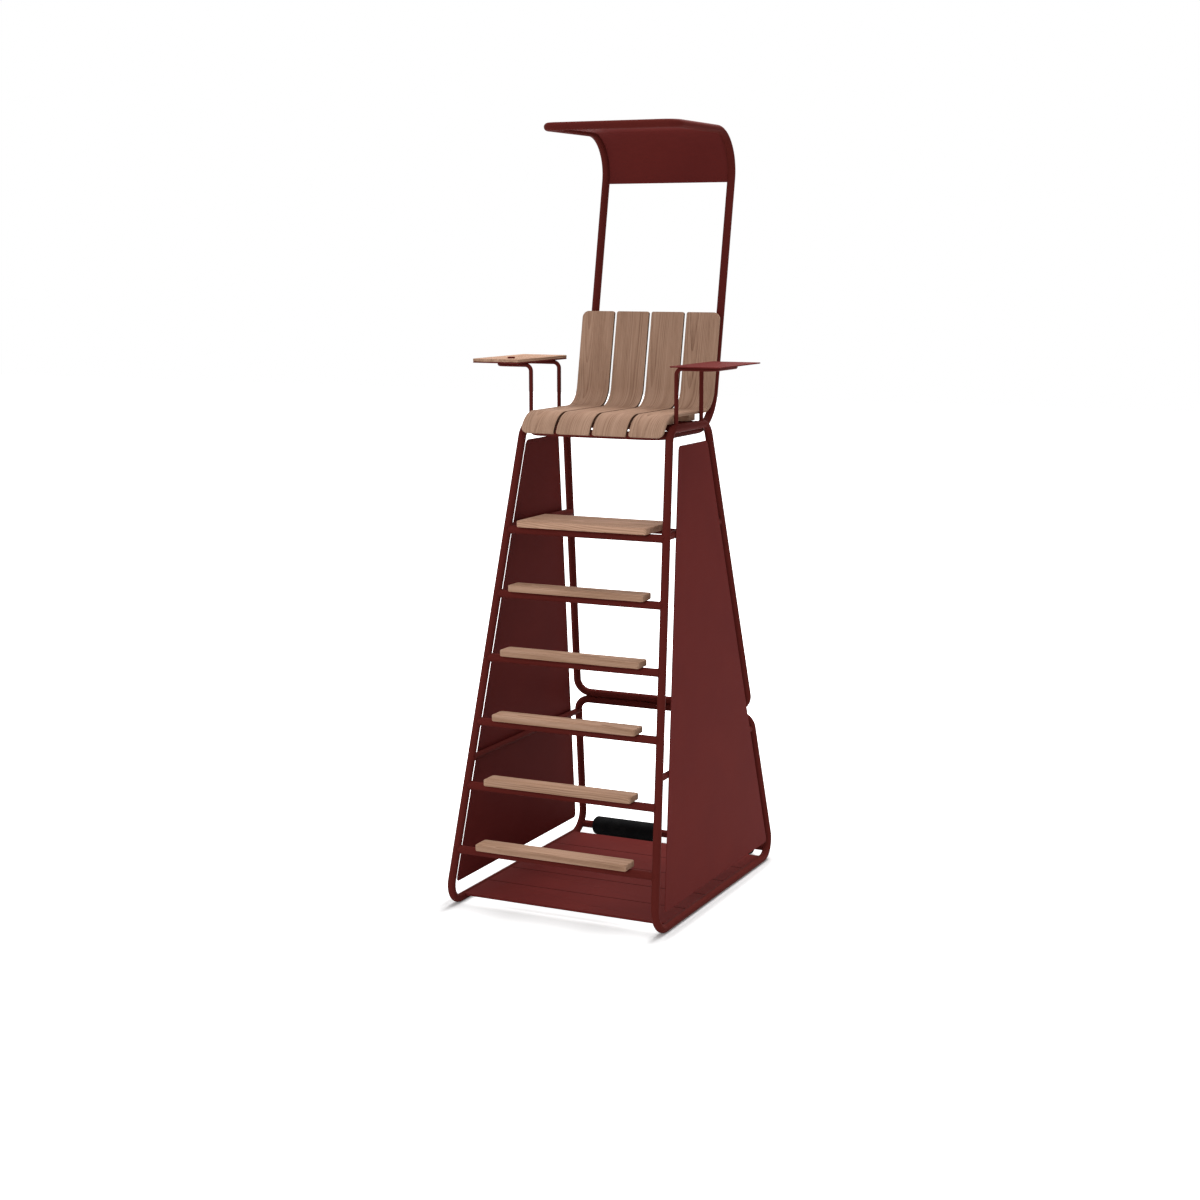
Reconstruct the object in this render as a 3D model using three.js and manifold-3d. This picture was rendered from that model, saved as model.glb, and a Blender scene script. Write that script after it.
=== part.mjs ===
// Tennis umpire chair: a tall tower of bent steel tube with six rungs and wooden steps, flat side
// panels, a slatted seat between two trays, a bent canopy and a roller between the rear feet.
// Millimetres. X runs left to right, the steps face -Y, Z is up, and the floor is at zero.
import * as THREE from "three";
import { mergeVertices } from "three/addons/utils/BufferGeometryUtils.js";
import Module from "manifold-3d";

const wasm = await Module();
wasm.setup();

// Stock and working clearances
const FIT = 0.3; // gap that touching pieces keep
const FRAME_TUBE = 35; // diameter of the main tube
const CROSS_TUBE = 27; // diameter of the tubes across the tower
const PANEL_RAIL_TUBE = 28; // diameter of the lower side rails
const ARM_ROD = 18; // diameter of the rod under each tray
const STUB = 12; // straight length left where a bend ends in a butt joint
const OVERRUN = 6; // how far a cut passes what it cuts

// Facets of the round work
const TUBE_SIDES = 12;
const TURNED_SIDES = 24;
const BEND_STEP_DEG = 15;

// Side frames: two flat loops of tube that lean towards each other
const FOOT_HALF_WIDTH = 483.5; // middle of the chair to a bottom rail's centre
const HEAD_HALF_WIDTH = 340.7; // the same at the top rails
const FOOT_FRONT = 665.9; // middle of the deck to the sharp front corner of a side loop
const FOOT_REAR = 660.2;
const HEAD_FRONT = 211.7; // the same corners at the top rails
const HEAD_REAR = 192.8;
const HEAD_HEIGHT = 2045; // floor to the centre of a top rail
const FOOT_BEND = 86; // centre-line radius of the side loops' lower corners
const HEAD_BEND = 65; // the same at the upper corners
const HOOP_HEIGHT = 713.9; // floor to where the lower and upper rear hoops touch
const HOOP_BEND = 62;

// Rungs and steps
const RUNGS = 6;
const FIRST_RUNG_HEIGHT = 251;
const RUNG_SPACING = 270.3;
const STEP_HALF_LENGTH = 352.8; // half the length of the lowest step
const STEP_SHORTENING = 9.2; // each step above is shorter by this at either end
const STEP_FRONT = 52; // rung's centre to the step's front edge
const STEP_REAR = 42;
const STEP_THICKNESS = 28.2;
const BOARD_CORNER = 11; // corner radius of the boards in plan
const BOARD_EASE = 2.5; // chamfer on a board's long edges
const FOOTREST_HALF_LENGTH = 302.5;
const FOOTREST_FRONT = 56; // top rung's centre to the footrest's front edge
const FOOTREST_DEPTH = 270;
const FOOTREST_BEARER_INSET = 15; // footrest's rear edge to the centre of the tube under it

// Side panels and the rails that carry them
const PANEL_SHEET = 3;
const PANEL_OUTSET = 12.8; // side loop's plane to the middle of the sheet
const PANEL_FRONT_INSET = 70.5; // front leg's centre to the sheet's edge, along Y
const PANEL_REAR_INSET = 57.9;
const PANEL_FOOT_INSET = 72; // bottom rail's centre to the sheet's edge
const PANEL_HEAD_INSET = 71;
const PANEL_CORNER = 20;
const LOWER_RAIL_HEIGHT = 636;
const UPPER_RAIL_LIFT = 4.2; // upper rails' centres over the centre of the footrest's bearer

// Deck
const PLANKS = 5;
const PLANK_SPACING = 216.1;
const PLANK_SEAM = 2;
const PLANK_THICKNESS = 10;
const PLANK_PLAY = 0.2; // bottom rail's inner side to a plank's end
const PLANK_HALF_LENGTH = FOOT_HALF_WIDTH - FRAME_TUBE / 2 - PLANK_PLAY;
const DECK_HEIGHT = 31.5; // floor to the top of the planks
const LEDGE_WIDTH = 34; // flat bar along a bottom rail, under the planks' ends
const LEDGE_THICKNESS = 7.5;

// Seat
const SEAT_TUBE_FRONT = 150; // middle of the deck to the front tube across the top rails
const SEAT_TUBE_REAR = 75;
const BATTEN_DEPTH = 71;
const BATTEN_THICKNESS = 27.5;
const BATTEN_SETBACK = 20.7; // top rail's centre to a batten's end
const BATTEN_HALF_LENGTH = HEAD_HALF_WIDTH - BATTEN_SETBACK;
const BATTEN_CORNER = 6;
const SLATS = 4;
const SLAT_SETBACK = 9.1; // top rail's centre to the outer slat's side
const SLAT_HALF_SPAN = HEAD_HALF_WIDTH - SLAT_SETBACK;
const SLAT_GAP = 12;
const SLAT_THICKNESS = 12;
const SLAT_NOSE_BEND = 124; // upper face's radius over the front edge
const SLAT_NOSE_START = 146; // middle of the deck to where the nose begins to fall
const SLAT_NOSE_TURN_DEG = 74.3;
const SLAT_BACK_BEND = 100; // upper face's radius between seat and back
const SLAT_CORNER_PLACE = 269.5; // where the seat's and the back's flat faces would meet
const SLAT_RISE = 470.8; // centre of a top rail to the top of the back
const SLAT_TOP = HEAD_HEIGHT + SLAT_RISE;
const SLAT_NOSE_STRAIGHT = 3; // straight end below the nose
const SLAT_OUTER_CORNER = 30;
const SLAT_INNER_CORNER = 9;
const BACK_RAKE_DEG = 10.81; // lean of the back and of the posts
const BACK_BLOCK_INNER = 228; // middle of the chair to the inner end of a block on a post
const BACK_BLOCK_OUTER = 308;
const BACK_BLOCK_LIFT = 335; // centre of a top rail to the middle of a block's slat face
const BACK_BLOCK_HEIGHT = HEAD_HEIGHT + BACK_BLOCK_LIFT;
const BACK_BLOCK_RISE = 90;

// Tube that runs under the seat, up behind the back and forward round the canopy
const LOOP_SETBACK = 36.1; // top rail's centre to a post's centre
const LOOP_HALF_WIDTH = HEAD_HALF_WIDTH - LOOP_SETBACK;
const LOOP_REAR_CORNER = 326.8; // where its base run and its post would meet
const LOOP_SEAT_BEND = 190;
const LOOP_CANOPY_BEND = 175;
const LOOP_FRONT_BEND = 60; // bend in plan at the front of the seat
const CANOPY_FRONT_BEND = 55; // bend in plan at the front of the canopy
const CANOPY_RISE = 1253.5; // centre of a top rail to the centre of the canopy's flat run
const CANOPY_HEIGHT = HEAD_HEIGHT + CANOPY_RISE;
const CANOPY_FRONT = 88; // middle of the deck to the centre of the front bar
const CANOPY_SHEET = 3;
const CANOPY_SHEET_DROP = 12; // how far the sheet goes on down the posts below the bend

// Arms and trays
const ARM_OUTSET = 0.4; // top rail's centre to the middle of an arm's post
const ARM_HALF_SPAN = HEAD_HALF_WIDTH + ARM_OUTSET;
const ARM_FRONT_POST = 144.1;
const ARM_REAR_POST = 124.6;
const ARM_REACH = 170.9; // middle of an arm's post to the outer run's centre
const ARM_OUTER_RUN = ARM_HALF_SPAN + ARM_REACH;
const ARM_RISE = 250.5; // centre of a top rail to the centre of a tray rod
const ARM_HEIGHT = HEAD_HEIGHT + ARM_RISE;
const ARM_POST_BEND = 27;
const ARM_CORNER_BEND = 45;
const TRAY_INNER = 350.5;
const TRAY_OUTER = 573.4;
const TRAY_FRONT = 244;
const TRAY_REAR = 226;
const TRAY_CORNER = 9;
const TRAY_SHEET = 5;
const TRAY_BOARD = 12.7;
const TRAY_HOLE = 33; // diameter of the hole in the wooden tray
const TRAY_HOLE_INSET = 81.5; // tray's inner edge to the hole's centre
const TRAY_HOLE_SETBACK = 91; // tray's front edge to the hole's centre

// Roller: two sleeves on one axle
const ROLLER_PLACE = 631; // middle of the deck to its axis
const ROLLER_HEIGHT = 48; // floor to its axis
const ROLLER_RADIUS = 44;
const SLEEVE_INNER = 80; // middle of the chair to a sleeve's inner end
const SLEEVE_SETBACK = 73.5; // bottom rail's centre to a sleeve's outer end
const SLEEVE_OUTER = FOOT_HALF_WIDTH - SLEEVE_SETBACK;
const SLEEVE_END_RADIUS = 20;
const SLEEVE_PLAY = 0.6; // between the axle and a sleeve's bore

const FINISHES = {
  tube: { color: 0x541c1b, roughness: 0.5, metalness: 0.2 },
  sheet: { color: 0x5c2926, roughness: 0.6, metalness: 0.1 },
  wood: { color: 0xab8871, roughness: 0.7, metalness: 0 },
  rubber: { color: 0x131415, roughness: 0.85, metalness: 0 },
};

const SIDES = [
  { label: "left", sign: -1 },
  { label: "right", sign: 1 },
];

const chair = new THREE.Group();

function add(name, geometry, finish, place = new THREE.Vector3()) {
  geometry.computeVertexNormals();
  const mesh = new THREE.Mesh(geometry, new THREE.MeshStandardMaterial(FINISHES[finish]));
  mesh.name = name;
  mesh.position.copy(place);
  chair.add(mesh);
  return mesh;
}

// Lines with round bends

const direction = (from, to) => to.clone().sub(from).normalize();

function bendReach(before, corner, after, radius) {
  const turn = direction(before, corner).angleTo(direction(corner, after));
  return radius * Math.tan(turn / 2);
}

const bendSteps = (turn) => Math.ceil(turn / THREE.MathUtils.degToRad(BEND_STEP_DEG));

// The points of a round bend that replaces a sharp corner, in two or three dimensions.
function bendPoints(before, corner, after, radius) {
  const arrive = direction(before, corner);
  const leave = direction(corner, after);
  const turn = arrive.angleTo(leave);
  const inward = leave.clone().addScaledVector(arrive, -leave.dot(arrive)).normalize();
  const centre = corner
    .clone()
    .addScaledVector(arrive, -radius * Math.tan(turn / 2))
    .addScaledVector(inward, radius);
  const steps = bendSteps(turn);
  return Array.from({ length: steps + 1 }, (_, i) => {
    const angle = (turn * i) / steps;
    return centre
      .clone()
      .addScaledVector(inward, -radius * Math.cos(angle))
      .addScaledVector(arrive, radius * Math.sin(angle));
  });
}

function bentLine(corners, radii) {
  const bends = radii.flatMap((radius, i) =>
    bendPoints(corners[i], corners[i + 1], corners[i + 2], radius),
  );
  return [corners[0], ...bends, corners.at(-1)];
}

// The point where a bend and its stub end, on the run from the corner towards next.
function stubEnd(corner, next, other, radius) {
  const reach = bendReach(other, corner, next, radius) + STUB;
  return corner.clone().addScaledVector(direction(corner, next), reach);
}

// A centre line with a ring at each of its points and nowhere else.
class TubeRoute extends THREE.Curve {
  constructor(corners, radii = []) {
    super();
    this.rings = bentLine(corners, radii);
  }

  getPoint(t, target = new THREE.Vector3()) {
    const place = t * (this.rings.length - 1);
    const i = Math.min(Math.floor(place), this.rings.length - 2);
    return target.lerpVectors(this.rings[i], this.rings[i + 1], place - i);
  }

  getTangent(t, target = new THREE.Vector3()) {
    const last = this.rings.length - 1;
    const i = Math.round(t * last);
    const before = Math.max(i - 1, 0);
    const after = Math.min(i, last - 1);
    return target
      .copy(direction(this.rings[before], this.rings[before + 1]))
      .add(direction(this.rings[after], this.rings[after + 1]))
      .normalize();
  }

  getUtoTmapping(u) {
    return u;
  }
}

// A section whose flats lie on the stated diameter, with flats up, down and to both sides.
const cornerReach = (diameter) => diameter / 2 / Math.cos(Math.PI / TUBE_SIDES);

function tubeSection(diameter) {
  const reach = cornerReach(diameter);
  const points = Array.from({ length: TUBE_SIDES }, (_, i) => {
    const angle = (Math.PI * (2 * i + 1)) / TUBE_SIDES;
    return new THREE.Vector2(reach * Math.cos(angle), reach * Math.sin(angle));
  });
  return new THREE.Shape(points);
}

function tube(route, diameter) {
  return new THREE.ExtrudeGeometry(tubeSection(diameter), {
    steps: route.rings.length - 1,
    extrudePath: route,
  });
}

// Cuts between solids

function solidOf(geometry) {
  const bare = geometry.clone();
  bare.deleteAttribute("normal");
  bare.deleteAttribute("uv");
  const merged = mergeVertices(bare);
  return new wasm.Manifold(
    new wasm.Mesh({
      numProp: 3,
      vertProperties: merged.attributes.position.array,
      triVerts: new Uint32Array(merged.index.array),
    }),
  );
}

function geometryOf(solid) {
  const mesh = solid.getMesh();
  return new THREE.BufferGeometry()
    .setAttribute("position", new THREE.BufferAttribute(mesh.vertProperties, 3))
    .setIndex(new THREE.BufferAttribute(mesh.triVerts, 1));
}

// A tube end shaped to lie against the tubes that it meets: each is a route with its diameter.
function coped(geometry, neighbours) {
  const solid = neighbours.reduce(
    (left, [route, diameter]) => left.subtract(solidOf(tube(route, diameter + 2 * FIT))),
    solidOf(geometry),
  );
  return geometryOf(solid);
}

const trimmed = (geometry, outline) => geometryOf(solidOf(geometry).intersect(solidOf(outline)));
const relieved = (geometry, cutter) => geometryOf(solidOf(geometry).subtract(solidOf(cutter)));

// Flat outlines and bent sheets

const flat = (x, y) => new THREE.Vector2(x, y);

function roundedOutline(corners, radii) {
  const count = corners.length;
  return new THREE.Shape(
    corners.flatMap((corner, i) =>
      bendPoints(corners[(i + count - 1) % count], corner, corners[(i + 1) % count], radii[i]),
    ),
  );
}

const rectangle = (left, front, right, rear) => [
  flat(left, front),
  flat(right, front),
  flat(right, rear),
  flat(left, rear),
];

// A bent line moved sideways, with its bends kept round about the same centres.
function offsetLine(corners, radii, distance) {
  const across = (i) => {
    const run = direction(corners[i], corners[i + 1]);
    return flat(-run.y, run.x);
  };
  const last = corners.length - 1;
  const moved = corners.map((corner, i) => {
    const before = across(Math.max(i - 1, 0));
    const after = across(Math.min(i, last - 1));
    const share = 1 + before.dot(after);
    return corner.clone().addScaledVector(before.add(after), distance / share);
  });
  const bent = radii.map((radius, i) => {
    const run = direction(corners[i], corners[i + 1]);
    const next = direction(corners[i + 1], corners[i + 2]);
    return radius - Math.sign(run.cross(next)) * distance;
  });
  return bentLine(moved, bent);
}

// A sheet bent along a line in the YZ plane, from half of its width on one side to the other.
function bentSheet(corners, radii, above, below, left, right) {
  const outline = new THREE.Shape([
    ...offsetLine(corners, radii, above),
    ...offsetLine(corners, radii, -below).reverse(),
  ]);
  const sheet = new THREE.ExtrudeGeometry(outline, { depth: right - left, bevelEnabled: false });
  const yzPlane = new THREE.Matrix4().makeBasis(
    new THREE.Vector3(0, 1, 0),
    new THREE.Vector3(0, 0, 1),
    new THREE.Vector3(1, 0, 0),
  );
  return sheet.applyMatrix4(yzPlane.setPosition(left, 0, 0));
}

function board(outline, thickness, ease) {
  return new THREE.ExtrudeGeometry(outline, {
    depth: thickness - 2 * ease,
    bevelSize: ease,
    bevelThickness: ease,
    bevelOffset: -ease,
    bevelSegments: 1,
  }).translate(0, 0, ease);
}

// The lean of the tower

const tubeRadius = FRAME_TUBE / 2;
const footHeight = tubeRadius;
const climbed = (z) => (z - footHeight) / (HEAD_HEIGHT - footHeight);
const halfWidthAt = (z) => THREE.MathUtils.lerp(FOOT_HALF_WIDTH, HEAD_HALF_WIDTH, climbed(z));
const frontAt = (z) => -THREE.MathUtils.lerp(FOOT_FRONT, HEAD_FRONT, climbed(z));
const rearAt = (z) => THREE.MathUtils.lerp(FOOT_REAR, HEAD_REAR, climbed(z));
const onFront = (sign, z) => new THREE.Vector3(sign * halfWidthAt(z), frontAt(z), z);
const onRear = (sign, z) => new THREE.Vector3(sign * halfWidthAt(z), rearAt(z), z);

// A straight run between two ends, drawn in from both by a clearance.
function runBetween(start, end, clearance) {
  const along = direction(start, end);
  return new TubeRoute([
    start.clone().addScaledVector(along, clearance),
    end.clone().addScaledVector(along, -clearance),
  ]);
}

const lowerHoopHeight = HOOP_HEIGHT - tubeRadius - FIT / 2;
const upperHoopHeight = HOOP_HEIGHT + tubeRadius + FIT / 2;

// Each side loop's routes: the front leg's tube goes on along the top, and the rear leg is in two.
function sideLoop({ sign }) {
  const footFront = onFront(sign, footHeight);
  const footRear = onRear(sign, footHeight);
  const headFront = onFront(sign, HEAD_HEIGHT);
  const headRear = onRear(sign, HEAD_HEIGHT);
  const [lowerJoint, lowerFar] = [sign, -sign].map((s) => onRear(s, lowerHoopHeight));
  const [upperJoint, upperFar] = [sign, -sign].map((s) => onRear(s, upperHoopHeight));
  const ends = {
    footFront: stubEnd(footFront, footRear, headFront, FOOT_BEND),
    footRear: stubEnd(footRear, footFront, headRear, FOOT_BEND),
    headRear: stubEnd(headRear, headFront, footRear, HEAD_BEND),
    lowerHoop: stubEnd(lowerJoint, lowerFar, footRear, HOOP_BEND),
    upperHoop: stubEnd(upperJoint, upperFar, headRear, HOOP_BEND),
  };
  const topEnd = ends.headRear
    .clone()
    .addScaledVector(direction(ends.headRear, headFront), FIT);
  return {
    ends,
    frontLeg: new TubeRoute(
      [ends.footFront, footFront, headFront, topEnd],
      [FOOT_BEND, HEAD_BEND],
    ),
    rearLowerLeg: new TubeRoute(
      [ends.footRear, footRear, lowerJoint, ends.lowerHoop],
      [FOOT_BEND, HOOP_BEND],
    ),
    rearUpperLeg: new TubeRoute(
      [ends.headRear, headRear, upperJoint, ends.upperHoop],
      [HEAD_BEND, HOOP_BEND],
    ),
    bottomRail: runBetween(ends.footFront, ends.footRear, FIT),
  };
}

const loops = SIDES.map(sideLoop);
const both = (part) => loops.map((loop) => [loop[part], FRAME_TUBE]);

function addTower() {
  SIDES.forEach(({ label }, i) => {
    add(`front_leg_${label}`, tube(loops[i].frontLeg, FRAME_TUBE), "tube");
    add(`rear_lower_leg_${label}`, tube(loops[i].rearLowerLeg, FRAME_TUBE), "tube");
    add(`rear_upper_leg_${label}`, tube(loops[i].rearUpperLeg, FRAME_TUBE), "tube");
    add(`bottom_rail_${label}`, tube(loops[i].bottomRail, FRAME_TUBE), "tube");
  });
  const [left, right] = loops.map((loop) => loop.ends);
  const lowerBar = runBetween(left.lowerHoop, right.lowerHoop, FIT);
  const upperBar = runBetween(left.upperHoop, right.upperHoop, FIT);
  add("rear_crossbar_lower", tube(lowerBar, FRAME_TUBE), "tube");
  add("rear_crossbar_upper", tube(upperBar, FRAME_TUBE), "tube");
}

// A line across the chair that ends short of the centre lines of what carries it.
function crossRoute(halfSpan, y, z) {
  const halfLength = halfSpan - FRAME_TUBE / 4;
  return new TubeRoute([
    new THREE.Vector3(-halfLength, y, z),
    new THREE.Vector3(halfLength, y, z),
  ]);
}

const rungHeight = (i) => FIRST_RUNG_HEIGHT + i * RUNG_SPACING;
const rungRoutes = Array.from({ length: RUNGS }, (_, i) => {
  const z = rungHeight(i);
  return crossRoute(halfWidthAt(z), frontAt(z), z);
});
const topRungHeight = rungHeight(RUNGS - 1);
const footrestBottom = topRungHeight + tubeRadius + FIT;
const footrestRear = frontAt(topRungHeight) - FOOTREST_FRONT + FOOTREST_DEPTH;
const bearerHeight = footrestBottom - FIT - CROSS_TUBE / 2;
const upperRailHeight = bearerHeight + UPPER_RAIL_LIFT;

function addRungsAndSteps() {
  for (let i = 0; i < RUNGS; i++) {
    const z = rungHeight(i);
    const y = frontAt(z);
    const rung = coped(tube(rungRoutes[i], FRAME_TUBE), both("frontLeg"));
    add(`rung_${i + 1}`, rung, "tube");
    if (i === RUNGS - 1) continue;
    const half = STEP_HALF_LENGTH - i * STEP_SHORTENING;
    const outline = roundedOutline(
      rectangle(-half, -STEP_FRONT, half, STEP_REAR),
      Array(4).fill(BOARD_CORNER),
    );
    const place = new THREE.Vector3(0, y, z + tubeRadius + FIT);
    add(`step_board_${i + 1}`, board(outline, STEP_THICKNESS, BOARD_EASE), "wood", place);
  }
  const outline = roundedOutline(
    rectangle(
      -FOOTREST_HALF_LENGTH,
      footrestRear - FOOTREST_DEPTH,
      FOOTREST_HALF_LENGTH,
      footrestRear,
    ),
    Array(4).fill(BOARD_CORNER),
  );
  const place = new THREE.Vector3(0, 0, footrestBottom);
  add("footrest_board", board(outline, STEP_THICKNESS, BOARD_EASE), "wood", place);
}

// Side panels: the outward normal of a side loop's plane, and places measured from that plane
const slope = (HEAD_HALF_WIDTH - FOOT_HALF_WIDTH) / (HEAD_HEIGHT - footHeight);
const slopeLength = Math.hypot(1, slope);
const outwardOf = (sign) =>
  new THREE.Vector3(sign, 0, -slope).divideScalar(slopeLength);

function panelRail({ sign }, i, z, diameter) {
  const inset = PANEL_OUTSET - PANEL_SHEET / 2 - FIT - diameter / 2;
  const shift = outwardOf(sign).multiplyScalar(inset);
  const [start, end] = [onFront(sign, z), onRear(sign, z)].map((point) => point.add(shift));
  const route = runBetween(start, end, FRAME_TUBE / 4);
  const carriers = [
    loops[i].frontLeg,
    loops[i].rearLowerLeg,
    loops[i].rearUpperLeg,
    ...rungRoutes,
  ].map((carrier) => [carrier, FRAME_TUBE]);
  return { route, geometry: coped(tube(route, diameter), carriers) };
}

function addPanels() {
  const footEdge = footHeight + PANEL_FOOT_INSET;
  const headEdge = HEAD_HEIGHT - PANEL_HEAD_INSET;
  const up = (z) => (z - footHeight) * slopeLength;
  const outline = roundedOutline(
    [
      flat(frontAt(footEdge) + PANEL_FRONT_INSET, up(footEdge)),
      flat(rearAt(footEdge) - PANEL_REAR_INSET, up(footEdge)),
      flat(rearAt(headEdge) - PANEL_REAR_INSET, up(headEdge)),
      flat(frontAt(headEdge) + PANEL_FRONT_INSET, up(headEdge)),
    ],
    Array(4).fill(PANEL_CORNER),
  );
  SIDES.forEach((side) => {
    const outward = outwardOf(side.sign);
    const plane = new THREE.Matrix4().makeBasis(
      new THREE.Vector3(0, 1, 0),
      new THREE.Vector3(side.sign * slope, 0, 1).normalize(),
      outward.clone().multiplyScalar(side.sign),
    );
    const origin = new THREE.Vector3(side.sign * FOOT_HALF_WIDTH, 0, footHeight)
      .addScaledVector(outward, PANEL_OUTSET);
    const sheet = new THREE.ExtrudeGeometry(outline, { depth: PANEL_SHEET, bevelEnabled: false })
      .translate(0, 0, -PANEL_SHEET / 2)
      .applyMatrix4(plane.setPosition(origin));
    add(`side_panel_${side.label}`, sheet, "sheet");
  });
}

const upperRails = SIDES.map((side, i) =>
  panelRail(side, i, upperRailHeight, FRAME_TUBE),
);

function addPanelRails() {
  SIDES.forEach((side, i) => {
    const lower = panelRail(side, i, LOWER_RAIL_HEIGHT, PANEL_RAIL_TUBE);
    add(`panel_rail_lower_${side.label}`, lower.geometry, "tube");
    add(`panel_rail_upper_${side.label}`, upperRails[i].geometry, "tube");
  });
  const bearer = crossRoute(
    halfWidthAt(upperRailHeight),
    footrestRear - FOOTREST_BEARER_INSET,
    bearerHeight,
  );
  const rails = upperRails.map((rail) => [rail.route, FRAME_TUBE]);
  add("footrest_bearer", coped(tube(bearer, CROSS_TUBE), rails), "tube");
}

function addDeck() {
  const plankWidth = PLANK_SPACING - PLANK_SEAM;
  for (let i = 0; i < PLANKS; i++) {
    const y = (i - (PLANKS - 1) / 2) * PLANK_SPACING;
    const plank = new THREE.BoxGeometry(2 * PLANK_HALF_LENGTH, plankWidth, PLANK_THICKNESS);
    const place = new THREE.Vector3(0, y, DECK_HEIGHT - PLANK_THICKNESS / 2);
    add(`deck_plank_${i + 1}`, plank, "sheet", place);
  }
  const ledgeTop = DECK_HEIGHT - PLANK_THICKNESS - FIT;
  const ledgeOuter = FOOT_HALF_WIDTH - tubeRadius - FIT;
  SIDES.forEach(({ label, sign }) => {
    const ledge = new THREE.BoxGeometry(LEDGE_WIDTH, PLANKS * PLANK_SPACING, LEDGE_THICKNESS);
    const place = new THREE.Vector3(
      sign * (ledgeOuter - LEDGE_WIDTH / 2),
      0,
      ledgeTop - LEDGE_THICKNESS / 2,
    );
    add(`deck_ledge_${label}`, ledge, "tube", place);
  });
}

// Heights of what is stacked on the top rails
const headTop = HEAD_HEIGHT + tubeRadius;
const seatTubeHeight = headTop - CROSS_TUBE / 2;
const battenBottom = headTop + FIT;
const seatTop = battenBottom + BATTEN_THICKNESS + FIT + SLAT_THICKNESS;
const loopHeight = seatTubeHeight - CROSS_TUBE / 2 - FIT - tubeRadius;

const rake = THREE.MathUtils.degToRad(BACK_RAKE_DEG);
const backFaceAt = (z) => SLAT_CORNER_PLACE + (z - seatTop) * Math.tan(rake);
const postAt = (z) => LOOP_REAR_CORNER + (z - loopHeight) * Math.tan(rake);

// The upper and front face of the slats, from under the nose to the top of the back.
const noseTurn = THREE.MathUtils.degToRad(SLAT_NOSE_TURN_DEG);
const noseReach = SLAT_NOSE_BEND * Math.tan(noseTurn / 2);
const noseFall = noseReach + SLAT_NOSE_STRAIGHT;
const noseCorner = flat(-SLAT_NOSE_START - noseReach, seatTop);
const slatCorners = [
  flat(noseCorner.x - noseFall * Math.cos(noseTurn), seatTop - noseFall * Math.sin(noseTurn)),
  noseCorner,
  flat(SLAT_CORNER_PLACE, seatTop),
  flat(backFaceAt(SLAT_TOP + OVERRUN), SLAT_TOP + OVERRUN),
];
const slatWidth = (2 * SLAT_HALF_SPAN - (SLATS - 1) * SLAT_GAP) / SLATS;

function addSlats() {
  for (let i = 0; i < SLATS; i++) {
    const left = -SLAT_HALF_SPAN + i * (slatWidth + SLAT_GAP);
    const right = left + slatWidth;
    const ribbon = bentSheet(
      slatCorners,
      [SLAT_NOSE_BEND, SLAT_BACK_BEND],
      0,
      SLAT_THICKNESS,
      left,
      right,
    );
    const leftCorner = i === 0 ? SLAT_OUTER_CORNER : SLAT_INNER_CORNER;
    const rightCorner = i === SLATS - 1 ? SLAT_OUTER_CORNER : SLAT_INNER_CORNER;
    const depth = backFaceAt(SLAT_TOP) + SLAT_NOSE_START + noseReach + 2 * SLAT_NOSE_BEND;
    const outline = new THREE.ExtrudeGeometry(
      roundedOutline(rectangle(left, slatCorners[0].y - SLAT_THICKNESS, right, SLAT_TOP), [
        leftCorner,
        rightCorner,
        rightCorner,
        leftCorner,
      ]),
      { depth, bevelEnabled: false },
    )
      .rotateX(Math.PI / 2)
      .translate(0, backFaceAt(SLAT_TOP) + SLAT_NOSE_BEND, 0);
    add(`seat_slat_${i + 1}`, trimmed(ribbon, outline), "wood");
  }
}

function addSeatBearers() {
  const rails = [...both("frontLeg"), ...both("rearUpperLeg")];
  const places = { front: -SEAT_TUBE_FRONT, rear: SEAT_TUBE_REAR };
  const slatSpace = bentSheet(
    slatCorners,
    [SLAT_NOSE_BEND, SLAT_BACK_BEND],
    OVERRUN,
    SLAT_THICKNESS + FIT,
    -BATTEN_HALF_LENGTH - OVERRUN,
    BATTEN_HALF_LENGTH + OVERRUN,
  );
  for (const [name, y] of Object.entries(places)) {
    const bar = crossRoute(HEAD_HALF_WIDTH, y, seatTubeHeight);
    add(`seat_tube_${name}`, coped(tube(bar, CROSS_TUBE), rails), "tube");
    const batten = board(
      roundedOutline(
        rectangle(
          -BATTEN_HALF_LENGTH,
          -BATTEN_DEPTH / 2,
          BATTEN_HALF_LENGTH,
          BATTEN_DEPTH / 2,
        ),
        Array(4).fill(BATTEN_CORNER),
      ),
      BATTEN_THICKNESS,
      BOARD_EASE,
    ).translate(0, y, battenBottom);
    add(`seat_batten_${name}`, relieved(batten, slatSpace), "wood");
  }
  const rakedGap = (LOOP_REAR_CORNER - backFaceAt(loopHeight)) * Math.cos(rake);
  const blockThickness = rakedGap - SLAT_THICKNESS - tubeRadius - 2 * FIT;
  const setback = SLAT_THICKNESS + FIT + blockThickness / 2;
  SIDES.forEach(({ label, sign }) => {
    const block = new THREE.BoxGeometry(
      BACK_BLOCK_OUTER - BACK_BLOCK_INNER,
      blockThickness,
      BACK_BLOCK_RISE,
    );
    const place = new THREE.Vector3(
      (sign * (BACK_BLOCK_INNER + BACK_BLOCK_OUTER)) / 2,
      backFaceAt(BACK_BLOCK_HEIGHT) + setback * Math.cos(rake),
      BACK_BLOCK_HEIGHT - setback * Math.sin(rake),
    );
    add(`back_block_${label}`, block, "wood", place).rotateX(-rake);
  });
}

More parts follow.
